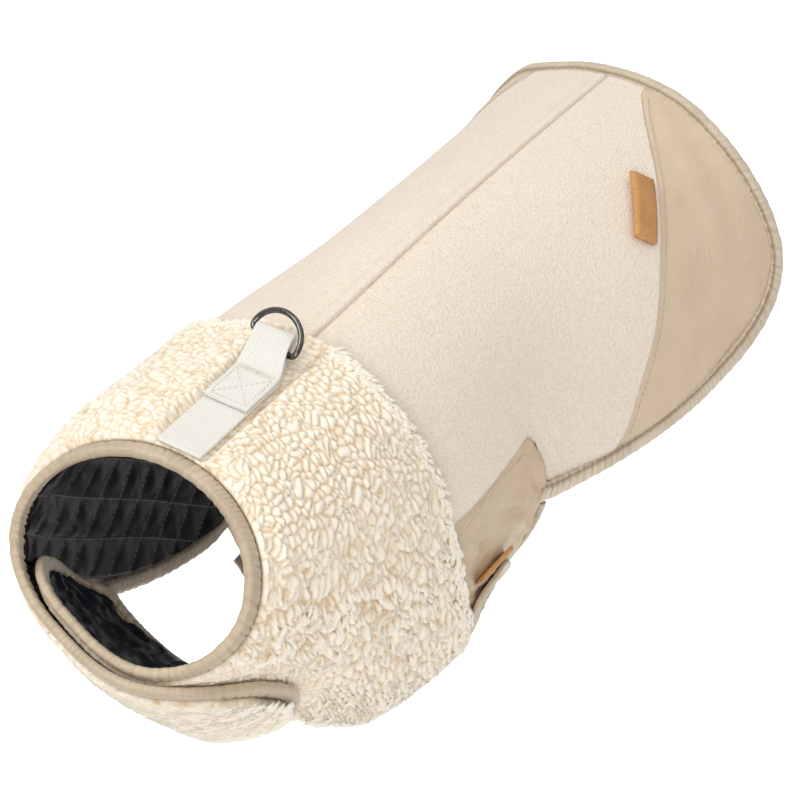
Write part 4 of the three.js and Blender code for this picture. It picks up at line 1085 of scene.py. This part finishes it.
def lining(side):
    lower = lining_lower(side) - (0, 0.2)
    tail_count = len(HEM_TAIL[side])
    corner = len(lower) - 5 - tail_count
    flank, tail = lower[:corner + 1], lower[corner:][::-1]
    s = np.linspace(0, 1, 265)[:, None]
    t = np.linspace(0, 1, 121)[None]
    seam = NECK_EDGE + (tail[0, 0] - NECK_EDGE) * s
    edge = point_along(flank, s[:, 0])
    along = seam * (1 - t) + edge[:, 0:1] * t
    angle = edge[:, 1:2] * t
    hem = point_along(tail, t[0])[None]
    straight = tail[0] * (1 - t[..., None]) + tail[-1] * t[..., None]
    weight = np.clip((s - 0.6) / 0.4, 0, None)
    along = along + (hem[..., 0] - straight[..., 0] - 1.4) * weight
    angle = angle + (hem[..., 1] - straight[..., 1]) * weight + 0.25
    stand = sag(side, along, angle) + lap(side, along, angle)
    stand = stand - LINING_CLEAR * np.minimum(1, np.abs(stand) / 1.5)
    puff = quilt(arc_grid(along, angle), along) * QUILT_PUFF
    crease = 0.16 * smooth_noise(*along.shape, 5, 1.0)
    touching = stand + LINING_INNER + 1.2 - puff + crease
    hidden = stand + LINING_OUTER + np.minimum(0, slack(along, angle))
    look = "lining", LINING, "lining"
    panel("quilted_lining", side, along, angle, touching, hidden, look, hidden, step=6)


for side in SIGN:
    lining(side)


# %% Lining of the chest flaps
def flap_lining(side):
    front, rear = yoke_borders(side)
    first = SEAM_END + 5
    head = np.concatenate([[LINING_LEG[side][0]], front[first + 1:]]) + (0, 1)
    foot = np.concatenate([[LINING_LEG[side][1]], rear[first + 1:]]) + (0, 1)
    along, angle, _ = grid_between(head, foot, 48, 1.3)
    stand = lap(side, along, angle)
    crease = 0.8 * smooth_noise(*along.shape, 7, 1.0) + 0.4 * smooth_noise(*along.shape, 3, 1.0)
    touching = stand - 4.4 + np.clip(crease, -1.2, 0.9)
    look = "flap_lining", FLAP_LINING, "lining"
    panel("satin_flap_lining", side, along, angle, touching, stand - 3, look, stand - 3)


for side in SIGN:
    flap_lining(side)

# %% [markdown]
# ## Gathered bindings
# The edges are bound with a bias tape of satin that is a little longer than the edge, so it
# gathers. The tape is swept along the edge with a flattened round section, and the gathers are
# waves of uneven width across it, pinched where the stitch line holds them down.

# %% Sweep of a binding
BINDING_WIDTH = 8.4
HEM_BINDING_WIDTH = 9.6
# points round the section, and how boxy it is; 2 would be an ellipse
SECTION = 20
BOXY = 3.2


def even_path(path, spacing):
    """The path's rows (along, angle, low, high), smooth and at even spacing in mm."""
    path = np.asarray(path, float)
    fine = np.linspace(0, len(path) - 1, 30 * (len(path) - 1) + 1)
    dense = np.stack([through(np.arange(len(path)), column, fine) for column in path.T], -1)
    length = run_length(form(dense[:, 0], dense[:, 1], (dense[:, 2] + dense[:, 3]) / 2))
    goal = np.linspace(0, length[-1], max(8, round(length[-1] / spacing)) + 1)
    rows = np.stack([np.interp(goal, length, dense[:, k]) for k in range(path.shape[1])], -1)
    return rows, goal


def gather_wave(length_mm, mean_pitch, spread):
    """Uneven waves along a tape: a phase that runs faster and slower, and a changing strength."""
    steps = np.diff(length_mm, prepend=0)
    marks = np.arange(0, length_mm[-1] + 12, 12)
    pace = 1 + spread * np.interp(length_mm, marks, dice.normal(0, 1, len(marks)))
    phase = np.cumsum(steps * np.clip(pace, 0.5, 1.8)) * 2 * math.pi / mean_pitch
    marks = np.arange(0, length_mm[-1] + 25, 25)
    strength = np.interp(length_mm, marks, dice.uniform(0.15, 1.0, len(marks)))
    return phase, strength


def soften(rows, rounds):
    for _ in range(rounds):
        rows[1:-1] = (rows[:-2] + 2 * rows[1:-1] + rows[2:]) / 4
    return rows


def binding(name, node, path, side, rise, pitch, depth, width=BINDING_WIDTH, gather=None):
    rows, length_mm = even_path(path, 0.7)
    rows = soften(rows, 8)
    along, angle, low, high = rows.T
    middle = form(along, angle, (low + high) / 2 + rise(along, angle))
    way = unit(np.gradient(middle, axis=0))
    lengthwise, round_, outward = form_frame(along, angle)
    free = unit(np.cross(outward, way)) * side
    up = unit(np.cross(way, free))
    up *= np.sign((up * outward).sum(-1, keepdims=True))
    phase, strength = gather_wave(length_mm, pitch, 0.55)
    if gather is not None:
        strength = strength * gather(along)
    turn = np.linspace(0, 2 * math.pi, SECTION, endpoint=False)
    across, tall = np.cos(turn), np.sin(turn)
    across = np.sign(across) * np.abs(across) ** (2 / BOXY)
    tall = np.sign(tall) * np.abs(tall) ** (2 / BOXY)
    thick = (high - low)[:, None] / 2
    slant = phase[:, None] + 1.5 * across[None]
    ridge = (np.abs(np.sin(slant / 2)) ** 0.7 - 0.6) * strength[:, None]
    fine = 0.25 * np.sin(slant * 1.63 + 1.3)
    pinch = 1 - 0.32 * np.exp(-((across[None] + 0.74) / 0.16) ** 2)
    hold = 0.3 + 0.7 * np.exp(-((across[None] + 0.5) / 0.55) ** 2)
    rib = depth * (ridge + fine * strength[:, None]) * hold
    edge = 1 + 0.05 * np.sin(phase * 0.5 + 0.8)[:, None]
    half = (width + 0.5) / 2
    out = half - 0.5 + across[None] * half * edge + rib * 0.35 * np.clip(across[None], 0, 1)
    degree = np.linalg.norm(bare_form(along, angle + 0.5) - bare_form(along, angle - 0.5), axis=-1)
    there_along = along[:, None] + out * (free * lengthwise).sum(-1)[:, None]
    there_angle = angle[:, None] + out * ((free * round_).sum(-1) / degree)[:, None]
    more = rise(there_along, there_angle) - rise(along, angle)[:, None]
    lift = tall[None] * (thick * pinch + rib) + more
    points = middle[:, None] + free[:, None] * out[..., None] + up[:, None] * lift[..., None]
    mesh = tube_mesh(name, points, length_mm)
    # Painted shade: the rib mark darkens the gathers' valleys and the pinched line along the
    # stitches.
    painted_gather_shade = 0.62 + 0.5 * (ridge + fine * strength[:, None]) * hold - 0.6 * (1 - pinch) / 0.32
    mark_points(mesh, "rib", np.clip(painted_gather_shade, 0, 1))
    # The hem takes the lighter copy of the satin, painted light.
    satin = LIT_HEM_SATIN if node == "hem_binding" else BINDING
    thing = piece(name, mesh, satin, replaces=node)
    top = np.abs(turn - math.radians(140)).argmin()
    line = points[:, top] + up * 0.12
    stitch_line(f"{name}_stitches", line, up, 2.4, 0.9, THREAD, 0.17)
    print(name, "length", round(length_mm[-1]), "mm")


def tube_mesh(name, points, length_mm, closed=False):
    """A tube through rings of points, closed at both ends, or on itself."""
    count, size = points.shape[:2]
    last = count if closed else count - 1
    i, j = np.meshgrid(np.arange(last), np.arange(size), indexing="ij")
    k, n = (j + 1) % size, (i + 1) % count
    faces = np.stack([i * size + j, i * size + k, n * size + k, n * size + j], -1)
    faces = faces.reshape(-1, 4).tolist()
    if not closed:
        faces.append(list(range(size))[::-1])
        faces.append([(count - 1) * size + j for j in range(size)])
    mesh = bpy.data.meshes.new(name)
    mesh.from_pydata((points.reshape(-1, 3) * MM).tolist(), [], faces)
    centre = points.mean(axis=1)
    a, b = points[0, 0], points[0, 1]
    normal = np.cross(b - a, points[1, 0] - a)
    if np.dot(normal, a - centre[0]) < 0:
        mesh.flip_normals()
    around = np.linspace(0, 16, size)[None] * np.ones((count, 1))
    along = length_mm[:, None] * np.ones((1, size))
    lay_uv(mesh, np.stack([around, along], -1))
    mesh.shade_smooth()
    return mesh


# %% [markdown]
# ## Stitches
# Sewing is too fine for the solids, but it is what makes cloth look sewn. One stitch is a tiny
# six-sided capsule; each seam's stitches are joined into one mesh that follows the seam.

# %% Lines of stitches
# how far a stitch stands out of the cloth, and how thick it is, from end to end
STITCH_OUT = np.array([-0.5, 0.6, 1.0, 0.6, -0.5])
STITCH_THICK = np.array([0.5, 0.95, 1.0, 0.95, 0.5])


def stitch_line(name, line, up, length, gap, material, radius):
    """Stitches along a line of points in mm; up is the way out of the cloth there."""
    run = run_length(line)
    starts = np.arange(0.5, run[-1] - length, length + gap)
    spots = starts[:, None] + np.linspace(0, 1, 5)[None] * length
    path = np.stack([np.interp(spots, run, line[:, k]) for k in range(3)], -1)
    out = np.stack([np.interp(spots, run, up[:, k]) for k in range(3)], -1)
    path = path + out * (STITCH_OUT * radius)[None, :, None]
    way = unit(path[:, -1:] - path[:, :1])
    side = unit(np.cross(way, out))
    points, faces = [], []
    for k in range(6):
        turn = 2 * math.pi * k / 6
        ring = math.cos(turn) * side + math.sin(turn) * out
        points.append(path + ring * (radius * STITCH_THICK)[None, :, None])
    points = np.stack(points, 2)
    count = len(starts)
    for s in range(count):
        first = s * 30
        for i in range(4):
            for k in range(6):
                a, b = first + i * 6 + k, first + i * 6 + (k + 1) % 6
                faces.append((a, b, b + 6, a + 6))
        faces.append(tuple(first + k for k in range(6))[::-1])
        faces.append(tuple(first + 24 + k for k in range(6)))
    mesh = bpy.data.meshes.new(name)
    mesh.from_pydata((points.reshape(-1, 3) * MM).tolist(), [], faces)
    mesh.shade_smooth()
    thing = piece(name, mesh, material)
    bpy.ops.object.select_all(action="DESELECT")
    bpy.context.view_layer.objects.active = thing
    thing.select_set(True)
    bpy.ops.object.mode_set(mode="EDIT")
    bpy.ops.mesh.select_all(action="SELECT")
    bpy.ops.mesh.normals_make_consistent(inside=False)
    bpy.ops.object.mode_set(mode="OBJECT")
    thing.select_set(False)


# %% Bindings of the coat
THICK = (-5.4, 0.4)
HEM_EDGE = (-4.9, 2.2)
THIN = (-2.0, 0.6)


def with_edge(border, half, edge):
    return np.array([(along, half * angle, *edge) for along, angle in border], float)


def front_binding(side):
    half = SIGN[side]
    front, rear = yoke_borders(side)
    path = with_edge([*front, *rear[SEAM_END:][::-1]], half, THICK)
    thinner = 0.8 * ease(110, 124, np.abs(path[:, 1])) * (1 - ease(66, 90, path[:, 0]))
    path[:, 2] += thinner

    def rise(along, angle):
        return lap(side, along, half * angle) + sag(side, along, half * angle)

    binding(f"front_edge_binding_{side}", f"front_binding_{side}", path, -half, rise, 4.4, 0.85)


def belly_binding(side):
    half = SIGN[side]
    front = [*SIDE_FRONT[side], *BELLY_FRONT[side]]
    rear = [*SIDE_REAR, *BELLY_REAR[side]]
    corner = len(SIDE_FRONT[side]) - 1
    start = corner + (2 if side == "left" else 1)
    path = with_edge([*front[start:], *rear[corner - 2:][::-1]], half, THIN)

    def rise(along, angle):
        strap = STRAP_RISE * ease(138, 152, half * angle) if side == "right" else 0
        return strap + sag(side, along, half * angle)

    binding(f"belly_edge_binding_{side}", f"belly_binding_{side}", path, -half, rise, 4.2, 0.55)


def hem_binding():
    left = [(218, 91.0), *HEM_FLANK, *HEM_RUMP["left"], *HEM_TAIL["left"]]
    right = [(218, 91.0), *HEM_FLANK, *HEM_RUMP["right"], *HEM_TAIL["right"]]
    right = [(along, -angle) for along, angle in right]
    path = with_edge([*left, *right[:-1][::-1]], 1, HEM_EDGE)

    def rise(along, angle):
        return np.where(angle < 0, *(sag(side, along, np.abs(angle)) for side in ("right", "left")))

    def gather(along):
        return 0.7 + 0.9 * (1 - ease(275, 350, along))

    binding("hem_edge_binding", "hem_binding", path, -1, rise, 4.1, 1.05, HEM_BINDING_WIDTH,
            gather)


for make in (front_binding, belly_binding):
    for side in SIGN:
        make(side)
hem_binding()

# %% Topstitching of the panels
SIDE_TOP = [(140, 86.5), (155, 83), SIDE_TOP_MIDDLE, (190, 78), (206, 77)]


def seam_stitches(name, side, border, inset, lift, length):
    half = SIGN[side]
    rows, _ = even_path([(a, half * b, 0, 0) for a, b in border], 1.0)
    along, angle = rows[:, 0] + inset[0], rows[:, 1] + half * inset[1]
    stand = slack(along, half * angle) + sag(side, along, half * angle) + lift
    line = form(along, angle, stand)
    up = form_frame(along, angle)[2]
    stitch_line(f"{name}_{side}", line, up, length, 0.9, THREAD, 0.16)


for side in SIGN:
    seam_stitches("rump_topstitch", side, RUMP_SEAM[side][1:], (1.6, 1.5), 0.15, 2.6)
    seam_stitches("side_topstitch", side, SIDE_TOP, (0, 0.3), 0.5, 1.7)

# %% [markdown]
# ## Leash webbing
# Cotton webbing is sewn down from the neck, rises to the ring, folds round its bar and comes
# back; a box with a cross and a line of bar tacks hold the two layers. The section keeps its
# real thickness through the fold, as a strap does.

# %% Webbing and its stitches
WEB_WIDTH = 24.5
WEB_AT_RING = 21.4
WEB_THICK = 1.6
LOOP_START = 3.6
LOOP_STITCHED = 70
LOOP_END = 94.6
LOOP_RETURN = 42
LOOP_LOW = 2.6
LOOP_UPPER = 4.9
LOOP_OPEN = 2.75
LOOP_LEAN = -6


def loop_middle(along):
    flat = (LOOP_LOW + LOOP_UPPER) / 2
    top = through(RINGS[:, 0], RINGS[:, 1], along)
    top = top - through(RINGS[:, 0], RINGS[:, 1], LOOP_STITCHED)
    rise = 0.28 * np.maximum(0, along - LOOP_STITCHED)
    return flat + rise - np.where(along > LOOP_STITCHED, top, 0)


def loop_point(along, across, lift):
    _, round_, outward = form_frame(along, 0 * along)
    lean = LOOP_LEAN * ease(LOOP_STITCHED - 4, LOOP_END + 4, along)
    return (bare_form(along, 0 * along) + round_ * (across + lean)[..., None]
            + outward * lift[..., None])


def loop_gap(along):
    closed = (LOOP_UPPER - LOOP_LOW) / 2
    return closed + (LOOP_OPEN - closed) * ease(LOOP_STITCHED, LOOP_STITCHED + 12, along)


def webbing():
    lower = np.arange(LOOP_START, LOOP_END, 1.6)
    turn = np.radians(np.linspace(-90, 90, 15))
    upper = np.arange(LOOP_END, LOOP_RETURN - 1.6, -1.6)
    along = np.concatenate([lower, LOOP_END + LOOP_OPEN * np.cos(turn[1:-1]), upper])
    lift = np.concatenate([
        loop_middle(lower) - loop_gap(lower),
        loop_middle(np.full(13, LOOP_END)) + LOOP_OPEN * np.sin(turn[1:-1]),
        loop_middle(upper) + loop_gap(upper),
    ])
    way = unit(np.stack([np.gradient(along), np.gradient(lift)], -1))
    width = WEB_WIDTH + (WEB_AT_RING - WEB_WIDTH) * ease(LOOP_STITCHED, 86, along)
    count = 33
    face = np.linspace(-1, 1, count)
    loops = np.concatenate([face, face[::-1]])
    sides = np.concatenate([np.ones(count), -np.ones(count)])
    rim = 1 - 0.35 * np.abs(loops) ** 12
    half = WEB_THICK / 2 * rim * sides
    wobble = 0.12 * np.sin(along * 0.35)[:, None] * loops[None] ** 2
    ring_along = along[:, None] - way[:, 1:2] * half[None]
    ring_lift = lift[:, None] + way[:, 0:1] * (half[None] + wobble)
    across = loops[None] * width[:, None] / 2
    points = loop_point(ring_along, across, ring_lift)
    length = np.concatenate([[0], np.cumsum(np.hypot(np.diff(along), np.diff(lift)))])
    mesh = tube_mesh("leash_webbing_strap", points, length)
    lay_uv(mesh, np.stack([across, length[:, None] + 0 * across], -1))
    thing = piece("leash_webbing_strap", mesh, WEBBING, replaces="leash_webbing")
    print("webbing length, mm:", round(length[-1]))


def web_stitches(name, places, length=2.0, gap=0.7):
    places = np.array(places, float)
    fine = np.linspace(0, len(places) - 1, 40 * (len(places) - 1) + 1)
    along = np.interp(fine, np.arange(len(places)), places[:, 0])
    across = np.interp(fine, np.arange(len(places)), places[:, 1])
    lift = loop_middle(along) + loop_gap(along) + WEB_THICK / 2 + 0.1
    line = loop_point(along, across, lift)
    up = form_frame(along, 0 * along)[2]
    stitch_line(name, line, up, length, gap, PALE_THREAD, 0.28)


webbing()
web_stitches("webbing_box_stitches", [(44, -10), (44, 10), (67, 10), (67, -10), (44, -10)])
web_stitches("webbing_cross_stitches", [(44, -10), (67, 10), (67, -10), (44, 10)])
for k in range(3):
    tack = 68.6 + 0.8 * k
    web_stitches(f"webbing_tack_stitches_{k + 1}", [(tack, -10.8), (tack, 10.8)], 1.4, 0.2)

# %% [markdown]
# ## Leash ring
# A D of round wire, polished dark. A sweep of a circle round the D's outline gives the wire; the
# bar is straight and the bow is a half ellipse, joined by small corners.

# %% Ring
RING_WIRE = 3
RING_BAR = 31
RING_DEPTH = 15.4
RING_CORNER = 2.4
RING_TILT = 46


def arc(centre, reach, first, last, count):
    """Places on part of an ellipse, between two angles in degrees."""
    return [(centre[0] + reach[0] * math.cos(turn), centre[1] + reach[1] * math.sin(turn))
            for turn in np.radians(np.linspace(first, last, count))]


def ring_places():
    half, corner = RING_BAR / 2, (RING_CORNER, RING_CORNER)
    bar = [((half - RING_CORNER) * x, 0.0) for x in np.linspace(-1, 1, 14)]
    bow = arc((0, RING_CORNER), (half, RING_DEPTH - RING_CORNER), 0, 180, 49)
    return np.array([*bar, *arc((half - RING_CORNER, RING_CORNER), corner, -78, -6, 7), *bow,
                     *arc((-half + RING_CORNER, RING_CORNER), corner, 186, 258, 7)])


def ring():
    at = np.array([LOOP_END - 0.3, LOOP_END - 8.6])
    ends = loop_point(at, np.array([-0.5, 0.5]) * WEB_WIDTH, loop_middle(at))
    centre = ends.mean(axis=0)
    bar = unit(ends[1] - ends[0])
    up = form_frame(np.array([LOOP_END]), np.array([0.0]))[2][0]
    up = unit(up - bar * np.dot(up, bar))
    rearward = unit(np.cross(up, bar))
    tilt = math.radians(RING_TILT)
    reach = rearward * math.cos(tilt) + up * math.sin(tilt)
    places = ring_places()
    path = centre + places[:, 0:1] * bar + places[:, 1:2] * reach
    way = unit(np.roll(path, -1, 0) - np.roll(path, 1, 0))
    side = unit(np.cross(bar, reach))
    outward = unit(np.cross(way, side))
    turn = np.linspace(0, 2 * math.pi, 24, endpoint=False)
    circle = (outward[:, None] * np.cos(turn)[None, :, None] + side * np.sin(turn)[None, :, None])
    points = path[:, None] + circle * RING_WIRE / 2
    mesh = tube_mesh("leash_d_ring", points, np.arange(len(path)) * 1.0, closed=True)
    piece("leash_d_ring", mesh, METAL, body="ring", replaces="leash_ring")


ring()

# %% [markdown]
# ## Leather
# The label in the rump seam and the pull tab at the end of the strap are strips of plain
# leather folded over into flat loops. The real label's marking is left off.

# %% Label and pull tab
def leather_loop(name, node, start, end, width, roll, low, lean, steps):
    axis = unit(form(*end, low) - form(*start, low))
    rings = []
    for k in range(steps + 1):
        share = k / steps
        place = [start[n] + (end[n] - start[n]) * share for n in range(2)]
        root = form(*place, low)
        lengthwise, round_, outward = form_frame(*place)
        reach = lengthwise * lean[0] + round_ * lean[1] + outward * lean[2]
        reach = unit(reach - axis * np.dot(reach, axis))
        across = unit(np.cross(axis, reach))
        across *= np.sign(np.dot(across, outward))
        straight = width - roll
        edge = 1 - 0.25 * (abs(2 * share - 1) ** 16)
        outline = [(x, -roll * 0.3 * x / straight) for x in np.linspace(0, straight, 8)]
        for turn in np.radians(np.linspace(-80, 80, 13)):
            outline.append((straight + roll * math.cos(turn), roll * (0.7 + math.sin(turn))))
        outline += [(x, roll * (1 + 0.7 * x / straight)) for x in np.linspace(straight, 0, 8)]
        middle = roll * 0.7
        rings.append([root + reach * out + across * (middle + (lift - middle) * edge)
                      for out, lift in outline])
    points = np.array(rings)
    mesh = tube_mesh(name, points, np.linspace(0, 30, steps + 1))
    piece(name, mesh, LEATHER, replaces=node)


leather_loop("rump_leather_label", "rump_label", (326.5, 49.4), (358, 35.6), 15.5, 2.4, 0.5,
             (-0.85, -0.5, 0.12), 40)
leather_loop("strap_pull_tab", "pull_tab", (194, 104.6), (172, 107.4), 11, 1.3, 1.4,
             (0, -0.93, 0.36), 30)

# %% [markdown]
# ## Floor, light and camera
# A product photograph on white: a pale floor far below, a wide soft light from the front and
# above, and a surround that is grey only at the horizon, which keeps the satin and the ring from
# washing out. A lamp below and behind the coat lights just the floor there, as a backdrop lamp
# does. The camera stands where the photograph's did, with a long lens.

# %% Stage
def area_light(name, place, look_at, size, power):
    lamp = bpy.data.lights.new(name, "AREA")
    lamp.size = size
    lamp.energy = power
    thing = bpy.data.objects.new(name, lamp)
    thing.location = place
    thing.rotation_euler = (Vector(look_at) - Vector(place)).to_track_quat("-Z", "Y").to_euler()
    bpy.context.scene.collection.objects.link(thing)


FLOOR_DROP = 1.1
bpy.ops.object.select_all(action="DESELECT")
bpy.ops.mesh.primitive_plane_add(size=14, location=(0, 0, 0))
floor = bpy.context.object
floor.name = "floor"
for vertex in floor.data.vertices:
    vertex.co.z = -FLOOR_DROP
white = bpy.data.materials.new("pale_floor")
white.use_nodes = True
paint = white.node_tree.nodes["Principled BSDF"].inputs
paint["Base Color"].default_value = (0.93, 0.93, 0.93, 1)
paint["Roughness"].default_value = 0.9
floor.data.materials.append(white)

world = bpy.data.worlds.new("studio")
world.use_nodes = True
sky = world.node_tree
split = add_node(sky, "ShaderNodeSeparateXYZ", -400)
sky.links.new(add_node(sky, "ShaderNodeTexCoord", -600).outputs["Generated"], split.inputs[0])
height = maths(sky, "MULTIPLY_ADD", (split, "Z"), 0.5, 0.5)
SKY = [(0.0, (255, 255, 255)), (0.5, (205, 205, 208)), (0.62, (150, 150, 154)),
       (0.8, (235, 235, 235)), (1.0, (255, 255, 255))]
ramp(sky, height, SKY, sky.nodes["Background"], "Color")
sky.nodes["Background"].inputs["Strength"].default_value = 1.03
bpy.context.scene.world = world
area_light("key", (-0.9, -1.0, 1.7), (0, 0.05, -0.05), 1.0, 17)
area_light("front", (0.9, -1.7, 0.5), (0, 0.05, -0.05), 0.8, 11)
area_light("backdrop", (-1.1, 1.95, -0.4), (-1.1, 1.95, -1.1), 3.2, 30)
bpy.context.scene.view_settings.view_transform = "Standard"

# %% Camera
AZIMUTH = math.radians(30.4)
ELEVATION = math.radians(31.2)
TARGET = Vector((0, 0.070, -0.0383))
DISTANCE = 1.474
level = math.cos(ELEVATION)
back_way = Vector((math.sin(AZIMUTH) * level, -math.cos(AZIMUTH) * level, math.sin(ELEVATION)))
lens = bpy.data.cameras.new("camera")
lens.lens = 130
lens.sensor_width = 36
lens.shift_x = (400 - 397.5) / 800
lens.shift_y = -(400 - 332.7) / 800
lens.clip_end = 50
camera = bpy.data.objects.new("camera", lens)
camera.location = TARGET + back_way * DISTANCE
camera.rotation_euler = (-back_way).to_track_quat("-Z", "Y").to_euler()
bpy.context.scene.collection.objects.link(camera)
bpy.context.scene.camera = camera

# %% Sizes
print("triangles in all:", sum(len(p.vertices) - 2 for m in bpy.data.meshes for p in m.polygons))
